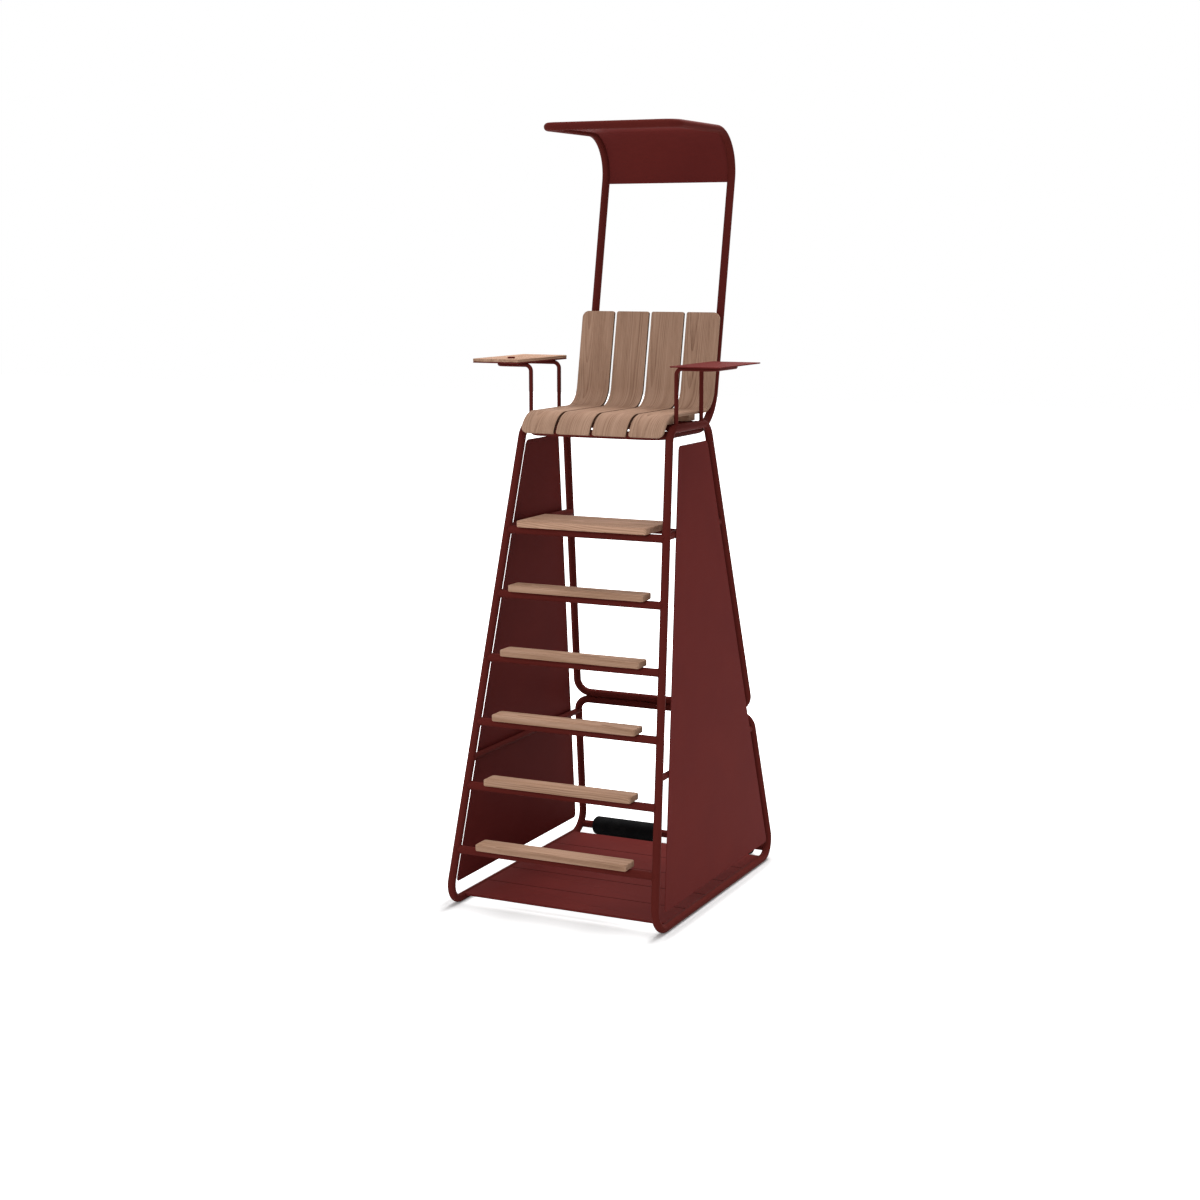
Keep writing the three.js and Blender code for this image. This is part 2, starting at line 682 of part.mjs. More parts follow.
// The front bar of the long loop lies in the hollow of the slats' noses.
const noseFlat = Math.cos(noseTurn / bendSteps(noseTurn) / 2);
const noseHollow =
  (SLAT_NOSE_BEND - SLAT_THICKNESS) * noseFlat - FIT - cornerReach(FRAME_TUBE);
const loopFront =
  -SLAT_NOSE_START - Math.sqrt(noseHollow ** 2 - (loopHeight - seatTop + SLAT_NOSE_BEND) ** 2);

function addCanopyLoop() {
  const routes = SIDES.map(({ sign }) => {
    const at = (y, z) => new THREE.Vector3(sign * LOOP_HALF_WIDTH, y, z);
    const seatFront = at(loopFront, loopHeight);
    const canopyFront = at(-CANOPY_FRONT, CANOPY_HEIGHT);
    const across = (corner) => corner.clone().setX(0);
    const seatRear = at(LOOP_REAR_CORNER, loopHeight);
    const canopyRear = at(postAt(CANOPY_HEIGHT), CANOPY_HEIGHT);
    const start = stubEnd(seatFront, across(seatFront), seatRear, LOOP_FRONT_BEND);
    const end = stubEnd(canopyFront, across(canopyFront), canopyRear, CANOPY_FRONT_BEND);
    return new TubeRoute(
      [start, seatFront, seatRear, canopyRear, canopyFront, end],
      [LOOP_FRONT_BEND, LOOP_SEAT_BEND, LOOP_CANOPY_BEND, CANOPY_FRONT_BEND],
    );
  });
  SIDES.forEach(({ label }, i) => {
    add(`canopy_frame_${label}`, tube(routes[i], FRAME_TUBE), "tube");
  });
  const [left, right] = routes.map((route) => route.rings);
  add("seat_front_bar", tube(runBetween(left[0], right[0], FIT), FRAME_TUBE), "tube");
  const canopyBar = runBetween(left.at(-1), right.at(-1), FIT);
  add("canopy_front_bar", tube(canopyBar, FRAME_TUBE), "tube");
}

function addCanopySheet() {
  const half = LOOP_HALF_WIDTH - tubeRadius - FIT;
  const rear = postAt(CANOPY_HEIGHT);
  const front = -CANOPY_FRONT + tubeRadius + FIT;
  const turn = Math.PI / 2 + rake;
  const fall = LOOP_CANOPY_BEND * Math.tan(turn / 2) + CANOPY_SHEET_DROP;
  const corners = [
    flat(rear - fall * Math.sin(rake), CANOPY_HEIGHT - fall * Math.cos(rake)),
    flat(rear, CANOPY_HEIGHT),
    flat(front - OVERRUN, CANOPY_HEIGHT),
  ];
  const halfSheet = CANOPY_SHEET / 2;
  const sheet = bentSheet(corners, [LOOP_CANOPY_BEND], halfSheet, halfSheet, -half, half);
  const cornerRadius = CANOPY_FRONT_BEND - tubeRadius - FIT;
  const outline = new THREE.ExtrudeGeometry(
    roundedOutline(rectangle(-half, front, half, rear), [
      cornerRadius,
      cornerRadius,
      halfSheet,
      halfSheet,
    ]),
    { depth: 2 * fall, bevelEnabled: false },
  ).translate(0, 0, CANOPY_HEIGHT + OVERRUN - 2 * fall);
  add("canopy_sheet", trimmed(sheet, outline), "sheet");
}

function addArms() {
  const foot = headTop - tubeRadius / 2;
  const trayBottom = ARM_HEIGHT + ARM_ROD / 2 + FIT;
  SIDES.forEach(({ label, sign }, i) => {
    const at = (x, y, z) => new THREE.Vector3(sign * x, y, z);
    const route = new TubeRoute(
      [
        at(ARM_HALF_SPAN, -ARM_FRONT_POST, foot),
        at(ARM_HALF_SPAN, -ARM_FRONT_POST, ARM_HEIGHT),
        at(ARM_OUTER_RUN, -ARM_FRONT_POST, ARM_HEIGHT),
        at(ARM_OUTER_RUN, ARM_REAR_POST, ARM_HEIGHT),
        at(ARM_HALF_SPAN, ARM_REAR_POST, ARM_HEIGHT),
        at(ARM_HALF_SPAN, ARM_REAR_POST, foot),
      ],
      [ARM_POST_BEND, ARM_CORNER_BEND, ARM_CORNER_BEND, ARM_POST_BEND],
    );
    const rails = [loops[i].frontLeg, loops[i].rearUpperLeg].map((rail) => [rail, FRAME_TUBE]);
    add(`arm_rod_${label}`, coped(tube(route, ARM_ROD), rails), "tube");
    const edges = [sign * TRAY_INNER, sign * TRAY_OUTER].sort((a, b) => a - b);
    const outline = () =>
      roundedOutline(
        rectangle(edges[0], -TRAY_FRONT, edges[1], TRAY_REAR),
        Array(4).fill(TRAY_CORNER),
      );
    const sheet = new THREE.ExtrudeGeometry(outline(), { depth: TRAY_SHEET, bevelEnabled: false });
    add(`tray_plate_${label}`, sheet, "sheet", new THREE.Vector3(0, 0, trayBottom));
    if (sign > 0) return;
    const topped = outline();
    const hole = new THREE.Path();
    const holeX = sign * (TRAY_INNER + TRAY_HOLE_INSET);
    hole.absarc(holeX, TRAY_HOLE_SETBACK - TRAY_FRONT, TRAY_HOLE / 2, 0, 2 * Math.PI);
    topped.holes.push(hole);
    const wood = new THREE.ExtrudeGeometry(topped, {
      depth: TRAY_BOARD,
      bevelEnabled: false,
      curveSegments: TURNED_SIDES / 2,
    });
    const place = new THREE.Vector3(0, 0, trayBottom + TRAY_SHEET + FIT);
    add(`tray_board_${label}`, wood, "wood", place);
  });
}

function turned(profile) {
  return new THREE.LatheGeometry(profile, TURNED_SIDES).rotateZ(Math.PI / 2);
}

function addRoller() {
  const place = new THREE.Vector3(0, ROLLER_PLACE, ROLLER_HEIGHT);
  const axleHalf = halfWidthAt(ROLLER_HEIGHT) - FRAME_TUBE / 4;
  const axle = turned([
    flat(0, -axleHalf),
    flat(tubeRadius, -axleHalf),
    flat(tubeRadius, axleHalf),
    flat(0, axleHalf),
  ]).translate(place.x, place.y, place.z);
  add("roller_axle", coped(axle, both("rearLowerLeg")), "tube");

  const bore = tubeRadius + SLEEVE_PLAY;
  SIDES.forEach(({ label, sign }) => {
    // Turning lays the profile's upward direction along -X.
    const [low, high] = [-sign * SLEEVE_INNER, -sign * SLEEVE_OUTER].sort((a, b) => a - b);
    const section = rectangle(bore, low, ROLLER_RADIUS, high);
    const outline = bentLine(section, [SLEEVE_END_RADIUS, SLEEVE_END_RADIUS]);
    add(`roller_sleeve_${label}`, turned([...outline, section[0].clone()]), "rubber", place);
  });
}

addTower();
addRungsAndSteps();
addPanels();
addPanelRails();
addDeck();
addSeatBearers();
addSlats();
addCanopyLoop();
addCanopySheet();
addArms();
addRoller();

export default chair;
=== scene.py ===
"""A tennis umpire chair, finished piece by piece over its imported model.

Round tubes with weld beads, eased boards, bent wooden slats and bent sheets stand for the plain solids of
the model, each in the finish of the real piece.  Sizes are given in millimetres and turned to metres by one
function.  X runs left to right, the steps face -Y, and Z is up.
"""

import logging
import math
from collections.abc import Callable, Sequence
from dataclasses import dataclass
from enum import Enum

import bmesh
import bpy
from bpy.types import Material, Node, NodeSocket, NodeTree, Object, World
from mathutils import Matrix, Vector


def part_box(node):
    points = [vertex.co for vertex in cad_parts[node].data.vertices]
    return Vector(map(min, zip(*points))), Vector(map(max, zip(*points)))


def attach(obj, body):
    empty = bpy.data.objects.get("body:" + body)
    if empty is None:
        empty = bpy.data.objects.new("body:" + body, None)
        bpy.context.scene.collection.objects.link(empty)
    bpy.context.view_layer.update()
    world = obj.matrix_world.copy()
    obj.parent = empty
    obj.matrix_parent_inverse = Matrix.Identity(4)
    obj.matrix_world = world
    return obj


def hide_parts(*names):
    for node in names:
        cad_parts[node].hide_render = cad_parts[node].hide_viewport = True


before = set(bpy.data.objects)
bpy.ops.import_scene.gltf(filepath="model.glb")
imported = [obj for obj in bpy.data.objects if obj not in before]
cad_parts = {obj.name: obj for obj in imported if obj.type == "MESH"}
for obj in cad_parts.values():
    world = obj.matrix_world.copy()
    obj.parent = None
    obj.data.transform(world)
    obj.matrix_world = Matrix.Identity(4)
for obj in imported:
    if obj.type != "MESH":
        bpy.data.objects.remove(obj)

log = logging.getLogger("umpire_chair")

FRAME_BODY = "frame"
GRAIN_ATTRIBUTE = "grain"  # each point's place in the timber
MAIN_TUBE = 35.0  # mm across the tube of loops, hoops and rungs, on which all else is welded
BACK_RAKE = 10.81  # degrees that the back and its posts lean
BACKWARDS = Vector((0.0, 1.0, 0.0))
TUBE_SIDES = 40  # corners round a tube, enough to look round from a step away
BEND_STEP = math.radians(5.0)  # turn between two rings of a tube's bend
BOARD_BEND_STEP = math.radians(3.0)  # and between two lines across a bent board
SMOOTH_ANGLE = math.radians(35.0)  # sharper edges than this stay crisp
RELIEF_DEPTH = 0.3  # mm that a finish's fine relief stands up
FACING = 0.99  # a face with at least so much of its normal along an axis looks that way


class Side(Enum):
    """The two sides of the chair, as seen from the front."""

    LEFT = -1
    RIGHT = 1

    @property
    def label(self) -> str:
        """The word that ends the names of this side's pieces."""
        return self.name.lower()


class Kind(Enum):
    """What an edit-mode selection holds: the selection mode, and a mesh's list of such elements."""

    EDGES = ("EDGE", "edges")
    FACES = ("FACE", "faces")


def mm(length: float) -> float:
    """Millimetres as metres."""
    return length / 1000.0


def point(x: float, y: float, z: float) -> Vector:
    """A place given in millimetres, in metres."""
    return Vector((mm(x), mm(y), mm(z)))


NEARLY = mm(0.01)  # nearer than this counts as the same place


# Finishes


def linear(colour: str) -> tuple[float, float, float, float]:
    """Turns an sRGB hex colour to the linear values that a shader reads.

    Args:
        colour: Six hex digits after a hash, such as "#58201d".

    Returns:
        Red, green, blue and an alpha of one.
    """
    channels = (int(colour[i : i + 2], 16) / 255.0 for i in (1, 3, 5))
    red, green, blue = (c / 12.92 if c <= 0.04045 else ((c + 0.055) / 1.055) ** 2.4 for c in channels)
    return red, green, blue, 1.0


def pattern_scale(spacing: float) -> float:
    """The noise scale that repeats about every so many millimetres."""
    return 1.0 / mm(spacing)


def add_node(
    tree: NodeTree, kind: str, inputs: dict[str | int, object] | None = None, **settings: object
) -> Node:
    """Adds one node with its settings, its constants and its incoming links.

    Args:
        tree: The node tree of a material or of the world.
        kind: The node's type name after "ShaderNode".
        inputs: For each input a constant, a node's output, or a node, which stands for its first output.
        settings: Properties of the node by name.

    Returns:
        The new node.
    """
    node = tree.nodes.new(f"ShaderNode{kind}")
    for name, value in settings.items():
        setattr(node, name, value)
    for name, value in (inputs or {}).items():
        source = value.outputs[0] if isinstance(value, Node) else value
        if isinstance(source, NodeSocket):
            tree.links.new(source, node.inputs[name])
        else:
            node.inputs[name].default_value = source
    return node


def empty_tree(owner: Material | World) -> NodeTree:
    """Clears the node tree of a new material or world.

    Args:
        owner: The material or world.

    Returns:
        Its empty tree.
    """
    owner.use_nodes = True
    owner.node_tree.nodes.clear()
    return owner.node_tree


@dataclass(frozen=True)
class Skin:
    """What all the finishes share: a ramp of colours and a shader, led by the finish's own patterns."""

    slot: str  # the material slot that this finish fills
    name: str
    colours: tuple[str, ...]
    roughness: float
    stops: tuple[float, ...]  # where on the ramp each colour stands
    swing: float  # how far the roughness strays either way
    relief: float  # strength of the fine relief
    ior: float
    sheen: float  # share of the surroundings that it reflects

    def patterns(self, tree: NodeTree) -> tuple[Node, Node, Node]:
        """Adds the patterns of the colour, of the roughness and of the relief."""
        raise NotImplementedError

    def material(self) -> Material:
        """Makes the material.

        Returns:
            The new material.
        """
        material = bpy.data.materials.new(self.name)
        tree = empty_tree(material)
        shade, gloss, skin = self.patterns(tree)
        colour = add_node(tree, "ValToRGB", {"Fac": shade})
        elements = colour.color_ramp.elements
        while len(elements) < len(self.stops):
            elements.new(1.0)
        for element, stop, hue in zip(elements, self.stops, self.colours):
            element.position = stop
            element.color = linear(hue)
        low, high = self.roughness - self.swing, self.roughness + self.swing
        matt = add_node(tree, "MapRange", {"Value": gloss, "To Min": low, "To Max": high})
        depth = mm(RELIEF_DEPTH)
        bump = add_node(tree, "Bump", {"Height": skin, "Strength": self.relief, "Distance": depth})
        surface = {"Base Color": colour, "Roughness": matt, "Normal": bump}
        constants = {"IOR": self.ior, "Specular IOR Level": self.sheen}
        shader = add_node(tree, "BsdfPrincipled", {**surface, **constants})
        add_node(tree, "OutputMaterial", {"Surface": shader})
        return material


@dataclass(frozen=True)
class SpeckledSkin(Skin):
    """A skin with wide patches of colour and a fine grit, neither of them in any direction."""

    patch: float  # mm across a patch of colour
    patch_detail: float
    grit: float  # mm between the grains of the relief
    grit_detail: float
    patchy_gloss: bool  # whether the roughness follows the patches, or else the grit

    def patterns(self, tree: NodeTree) -> tuple[Node, Node, Node]:
        """Adds the patches and the grit.

        Args:
            tree: The material's node tree.

        Returns:
            The patterns of the colour, of the roughness and of the relief.
        """
        place = add_node(tree, "TexCoord").outputs["Object"]
        wide, fine = pattern_scale(self.patch), pattern_scale(self.grit)
        patch = add_node(tree, "TexNoise", {"Vector": place, "Scale": wide, "Detail": self.patch_detail})
        grit = add_node(tree, "TexNoise", {"Vector": place, "Scale": fine, "Detail": self.grit_detail})
        return patch, patch if self.patchy_gloss else grit, grit


@dataclass(frozen=True)
class PowderCoat(SpeckledSkin):
    """Polyester powder coat, sprayed dry and baked on steel in one colour.

    It is an even satin skin: the eye reads a soft wide sheen, a faint dimpled texture like orange peel,
    and a colour that barely drifts from place to place.
    """

    stops: tuple[float, ...] = (0.3, 0.7)
    swing: float = 0.05
    relief: float = 0.12
    ior: float = 1.5
    sheen: float = 0.01  # this matt coat reflects next to nothing of its surroundings
    patch: float = 260.0
    patch_detail: float = 3.0
    grit: float = 2.2  # the real dimples are about 1 mm across; drawn twice as coarse, they show
    grit_detail: float = 2.0
    patchy_gloss: bool = False


@dataclass(frozen=True)
class BlackRubber(SpeckledSkin):
    """Moulded black rubber of a roller's sleeve.

    It is near black and matt: the eye reads no highlight, a fine grit and a breath of dust.
    """

    stops: tuple[float, ...] = (0.45, 0.8)
    swing: float = 0.08
    relief: float = 0.25
    ior: float = 1.52
    sheen: float = 0.04
    patch: float = 45.0
    patch_detail: float = 5.0
    grit: float = 1.4
    grit_detail: float = 3.0
    patchy_gloss: bool = True


@dataclass(frozen=True)
class OiledHardwood(Skin):
    """Oiled hardwood, planed and sanded, that reads each piece's own grain directions.

    It is a matt pinkish-brown face: the eye reads fine straight lines along the piece, broad quiet
    streaks, and here and there the pointed arches of a ring that the board cuts.
    """

    stops: tuple[float, ...] = (0.42, 0.66, 0.92)
    swing: float = 0.08
    relief: float = 0.08
    ior: float = 1.46
    sheen: float = 0.02
    ring: float = 5.0  # mm between the year rings
    late_wood: float = 0.35  # share of a ring's width after which it darkens
    fibre: float = 0.9  # mm between the fine fibre lines; real ones are a tenth of it and wouldn't show
    fibre_run: float = 160.0  # mm that one fibre line runs on
    streak: float = 8.0  # mm across one narrow streak
    streak_run: float = 900.0  # mm along it
    tone: float = 34.0  # mm across one broad band
    tone_run: float = 520.0  # mm along it
    waver: float = 20.0  # mm that the rings stray to the side
    waver_width: float = 111.11  # mm across one such stray
    waver_run: float = 454.55  # mm along it
    ring_share: float = 0.25  # how much rings, bands, streaks and fibres darken the wood
    tone_share: float = 0.6
    streak_share: float = 0.55
    fibre_share: float = 0.2

    def stretched(
        self, tree: NodeTree, place: Node | NodeSocket, size: tuple[float, float], detail: float
    ) -> Node:
        """Adds a noise that is drawn out along the grain.

        Args:
            tree: The material's node tree.
            place: The place in the timber.
            size: How wide and how long one spot of it is, in millimetres.
            detail: How fine it gets within a spot.

        Returns:
            The noise.
        """
        across, along = (pattern_scale(length) for length in size)
        mapped = add_node(tree, "Mapping", {"Vector": place, "Scale": (across, along, across)})
        return add_node(tree, "TexNoise", {"Vector": mapped, "Scale": 1.0, "Detail": detail})

    def patterns(self, tree: NodeTree) -> tuple[Node, Node, Node]:
        """Adds the rings, bands, streaks and fibres.

        Args:
            tree: The material's node tree.

        Returns:
            The patterns of the colour, of the roughness and of the relief.
        """
        grain = add_node(tree, "Attribute", attribute_name=GRAIN_ATTRIBUTE).outputs["Vector"]
        waves = self.stretched(tree, grain, (self.waver_width, self.waver_run), detail=2.0)
        stray = {0: waves.outputs["Color"], 1: (mm(self.waver),) * 3, 2: grain}
        bent = add_node(tree, "VectorMath", stray, operation="MULTIPLY_ADD")
        # A ring pattern of the wave texture repeats every tau / 20 metres at a scale of one.
        around = {"Vector": bent, "Scale": math.tau / 20.0 / mm(self.ring), "Distortion": 0.0}
        shape = {"wave_type": "RINGS", "rings_direction": "Y", "wave_profile": "SAW"}
        rings = add_node(tree, "TexWave", around, **shape)
        late_wood = {"Value": rings.outputs["Fac"], "From Min": self.late_wood, "From Max": 1.0}
        lines = add_node(tree, "MapRange", late_wood, interpolation_type="SMOOTHSTEP")
        tones = self.stretched(tree, bent, (self.tone, self.tone_run), detail=3.0)
        streaks = self.stretched(tree, bent, (self.streak, self.streak_run), detail=3.0)
        fibres = self.stretched(tree, grain, (self.fibre, self.fibre_run), detail=4.0)
        # Noise is 0.5 and the ring pattern 0.33 on average, and 0.65 is about the middle stop: whatever
        # the shares are, the mean stays at the middle shade.
        noise_shares = self.tone_share + self.streak_share + self.fibre_share
        shade = 0.65 - 0.33 * self.ring_share - 0.5 * noise_shares
        patterns = (lines, tones, streaks, fibres)
        shares = (self.ring_share, self.tone_share, self.streak_share, self.fibre_share)
        for pattern, share in zip(patterns, shares):
            shade = add_node(tree, "Math", {0: pattern, 1: share, 2: shade}, operation="MULTIPLY_ADD")
        return shade, fibres, fibres


class Finish(Enum):
    """The chair's finishes, each with the material slot that it dresses."""

    TUBE = PowderCoat("powder_coated_tube", "maroon powder coat on tube", ("#55201c", "#5a221e"), 0.55)
    SHEET = PowderCoat("powder_coated_sheet", "maroon powder coat on sheet", ("#612624", "#662825"), 0.6)
    # Painted shade: a far darker copy of the sheet's coat for the folds between deck planks.
    SEAM = PowderCoat("powder_coated_sheet", "maroon powder coat, dusty fold", ("#280d0c", "#2e100e"), 0.7)
    BOARD = OiledHardwood("oiled_hardwood", "oiled hardwood", ("#bd9a84", "#aa866f", "#866753"), 0.62)
    # Painted light and shade: a darker copy of the board's wood for the lower steps and a paler one for the
    # footrest.
    BOARD_PAINTED_DARKER = OiledHardwood(
        "oiled_hardwood", "oiled hardwood, darker board", ("#b79580", "#a5826b", "#82644f"), 0.62
    )
    BOARD_PAINTED_PALER = OiledHardwood(
        "oiled_hardwood", "oiled hardwood, paler board", ("#cda78f", "#b9927a", "#927059"), 0.62
    )
    SLAT = OiledHardwood(
        "oiled_hardwood",
        "oiled bent hardwood",
        ("#b4947f", "#a3826d", "#7c5f4d"),
        0.6,
        fibre_run=55.0,
        streak=3.5,
        streak_run=380.0,
        waver=8.0,
        ring_share=0.18,
        tone_share=0.4,
        streak_share=0.45,
        fibre_share=0.35,
    )
    # Painted shade: a darker copy of the slat wood for the side faces in the gaps between slats.
    SLAT_GAP_SHADE = OiledHardwood(
        "oiled_hardwood",
        "oiled hardwood, edge in a gap",
        ("#6b5343", "#5c4638", "#47352a"),
        0.66,
        fibre_run=55.0,
        streak=5.0,
        streak_run=380.0,
    )
    RUBBER = BlackRubber("black_rubber", "black rubber", ("#121213", "#1e1e1e"), 0.85)

    def material(self) -> Material:
        """This finish's material, made at its first use."""
        return bpy.data.materials.get(self.value.name) or self.value.material()


# The workshop


def choose(*pieces: Object) -> None:
    """Selects these pieces and nothing else, and makes the first of them active.

    Args:
        pieces: The pieces.
    """
    bpy.ops.object.select_all(action="DESELECT")
    for piece in pieces:
        piece.select_set(True)
    bpy.context.view_layer.objects.active = pieces[0]


def fresh(name: str, primitive: Callable[..., set[str]], **settings: object) -> Object:
    """Adds a primitive at its size and place, with nothing else selected.

    Args:
        name: The new object's name.
        primitive: The operator that adds it.
        settings: The operator's settings.

    Returns:
        The new object, which is the active one.
    """
    bpy.ops.object.select_all(action="DESELECT")
    primitive(**settings)
    piece = bpy.context.object
    piece.name = piece.data.name = name
    return piece


def settle(piece: Object) -> None:
    """Moves the object's place, turn and scale into its mesh."""
    choose(piece)
    bpy.ops.object.transform_apply(location=True, rotation=True, scale=True)


def start_shaping(piece: Object) -> None:
    """Takes one piece into edit mode with all of it selected.

    Args:
        piece: The piece.
    """
    choose(piece)
    bpy.ops.object.mode_set(mode="EDIT")
    bpy.ops.mesh.select_all(action="SELECT")


def face_outwards() -> None:
    """Turns every face of the shape in edit mode outwards."""
    bpy.ops.mesh.select_all(action="SELECT")
    bpy.ops.mesh.normals_make_consistent(inside=False)


def end_shaping() -> None:
    """Turns the faces outwards and leaves edit mode."""
    face_outwards()
    bpy.ops.object.mode_set(mode="OBJECT")


def pick(kind: Kind, wanted: Callable[[object], bool]) -> None:
    """Selects, in edit mode, the elements that pass a test and nothing else.

    Args:
        kind: Whether edges or faces are selected.
        wanted: The test of one element.
    """
    mode, elements = kind.value
    bpy.ops.mesh.select_mode(type=mode)
    bpy.ops.mesh.select_all(action="DESELECT")
    data = bpy.context.edit_object.data
    mesh = bmesh.from_edit_mesh(data)
    for element in getattr(mesh, elements):
        if wanted(element):
            element.select_set(True)
    mesh.select_flush_mode()
    bmesh.update_edit_mesh(data)


def draw_out(way: Vector) -> None:
    """Extrudes what is selected by a distance and direction."""
    bpy.ops.mesh.extrude_region_move(TRANSFORM_OT_translate={"value": way})


def ease(radius: float, segments: int, affect: str = "EDGES") -> None:
    """Rounds what is selected to a radius in millimetres."""
    bpy.ops.mesh.bevel(offset=mm(radius), segments=segments, affect=affect)


def smooth(piece: Object, weighted: bool = False) -> None:
    """Shades a piece smooth up to the smoothing angle.

    Args:
        piece: The finished object.
        weighted: Whether broad faces keep their flat look beside small rounded edges.
    """
    choose(piece)
    bpy.ops.object.shade_smooth_by_angle(angle=SMOOTH_ANGLE)
    if weighted:
        piece.modifiers.new("even faces", "WEIGHTED_NORMAL").keep_sharp = True
        bpy.ops.object.modifier_apply(modifier="even faces")


def join(pieces: Sequence[Object]) -> Object:
    """Joins objects into one.

    Args:
        pieces: The objects.

    Returns:
        The first of them, which holds them all.
    """
    choose(*pieces)
    bpy.ops.object.join()
    return pieces[0]


@dataclass(frozen=True)
class Bend:
    """One rounded corner of a line."""

    radius: float  # metres
    turn: float  # radians
    start: Vector
    end: Vector
    along: Vector  # direction before it
    leave: Vector  # direction after it


def bends(corners: Sequence[Vector], radii: Sequence[float]) -> list[Bend]:
    """Rounds the inner corners of a line.

    Args:
        corners: The sharp corners of the line, with its two ends, in metres.
        radii: The radius at each inner corner, in millimetres.

    Returns:
        The bends in order.
    """
    made, along = [], (corners[1] - corners[0]).normalized()
    for corner, following, radius in zip(corners[1:], corners[2:], radii):
        leave = (following - corner).normalized()
        turn = along.angle(leave)
        reach = mm(radius) * math.tan(turn / 2)
        start, end = corner - along * reach, corner + leave * reach
        made.append(Bend(mm(radius), turn, start, end, along, leave))
        along = leave
    return made


def bent_tube(
    name: str, corners: Sequence[Vector], radii: Sequence[float], diameter: float, closed: bool = False
) -> Object:
    """Bends a round tube along a line with rounded corners.

    A circle is drawn out along each straight run and spun round each bend.

    Args:
        name: The new object's name.
        corners: The sharp corners of the centre line, with its two ends, in metres.
        radii: The centre-line radius at each inner corner, in millimetres.
        diameter: The tube's outer diameter, in millimetres.
        closed: Whether the last end meets the first, so that neither is capped.

    Returns:
        The tube, with its place in its mesh.
    """
    tube = fresh(
        name,
        bpy.ops.mesh.primitive_circle_add,
        vertices=TUBE_SIDES,
        radius=mm(diameter) / 2,
        fill_type="NOTHING" if closed else "NGON",
        location=corners[0],
        rotation=(corners[1] - corners[0]).to_track_quat("Z", "Y").to_euler(),
    )
    settle(tube)
    start_shaping(tube)
    place = corners[0]
    for bend in bends(corners, radii):
        draw_out(bend.start - place)
        inward = (bend.leave - bend.along * bend.leave.dot(bend.along)).normalized()
        bpy.ops.mesh.spin(
            steps=math.ceil(bend.turn / BEND_STEP),
            angle=-bend.turn,
            center=bend.start + inward * bend.radius,
            axis=bend.along.cross(bend.leave).normalized(),
        )
        place = bend.end
    draw_out(corners[-1] - place)
    if closed:
        bpy.ops.mesh.select_all(action="SELECT")
        bpy.ops.mesh.remove_doubles(threshold=NEARLY)
    end_shaping()
    smooth(tube)
    return tube


@dataclass(frozen=True)
class Carrier:
    """The centre line of a main tube, on which another tube is welded."""

    place: Vector
    run: Vector

    def off(self, spot: Vector) -> Vector:
        """The shortest way from this line to a spot."""
        run = self.run.normalized()
        return (spot - self.place) - run * (spot - self.place).dot(run)


def weld_bead(start: Vector, along: Vector, diameter: float, carrier: Carrier, bead: float) -> Object:
    """Lays a weld bead round the line where a tube meets the side of a main tube.

    Args:
        start: A point on the tube's centre line.
        along: The tube's direction towards the carrier.
        diameter: The tube's outer diameter, in millimetres.
        carrier: The main tube's line.
        bead: The bead's own diameter, in millimetres; half of it shows.

    Returns:
        The bead as a closed ring.
    """
    along, run = along.normalized(), carrier.run.normalized()
    side = along.orthogonal().normalized()
    over = along.cross(side)
    across = along - run * along.dot(run)
    radius, reach = mm(diameter) / 2, mm(MAIN_TUBE) / 2
    ring = []
    for i in range(TUBE_SIDES):
        angle = math.tau * i / TUBE_SIDES
        edge = start + (side * math.cos(angle) + over * math.sin(angle)) * radius
        gap = carrier.off(edge)
        a, b, c = across.length_squared, 2 * across.dot(gap), gap.length_squared - reach**2
        meeting = edge + along * ((-b - math.sqrt(max(b * b - 4 * a * c, 0.0))) / (2 * a))
        # Where the tube is wider than the carrier, its ring is drawn back to the carrier's side.
        out = carrier.off(meeting)
        ring.append(meeting + out.normalized() * (reach - out.length))
    line = fresh("weld_bead", bpy.ops.curve.primitive_bezier_circle_add, radius=radius)
    line.data.splines.clear()
    spline = line.data.splines.new("POLY")
    spline.points.add(len(ring) - 1)
    for spot, place in zip(spline.points, ring):
        spot.co = (*place, 1.0)
    spline.use_cyclic_u = True
    line.data.bevel_depth = mm(bead) / 2
    line.data.bevel_resolution = 2
    bpy.ops.object.convert(target="MESH")
    smooth(line)
    return line


def welded_tube(
    name: str, ends: Sequence[Vector], diameter: float, carriers: Sequence[Carrier], bead: float = 5.0
) -> Object:
    """A straight tube that is welded on at both ends.

    Args:
        name: The new object's name.
        ends: Its two ends, in metres.
        diameter: Its outer diameter, in millimetres.
        carriers: The line of the main tube at each end.
        bead: The weld beads' diameter, in millimetres.

    Returns:
        The tube with its beads.
    """
    middle = (ends[0] + ends[1]) / 2
    parts = [bent_tube(name, ends, [], diameter)]
    for end, carrier in zip(ends, carriers):
        parts.append(weld_bead(middle, end - middle, diameter, carrier, bead))
    return join(parts)


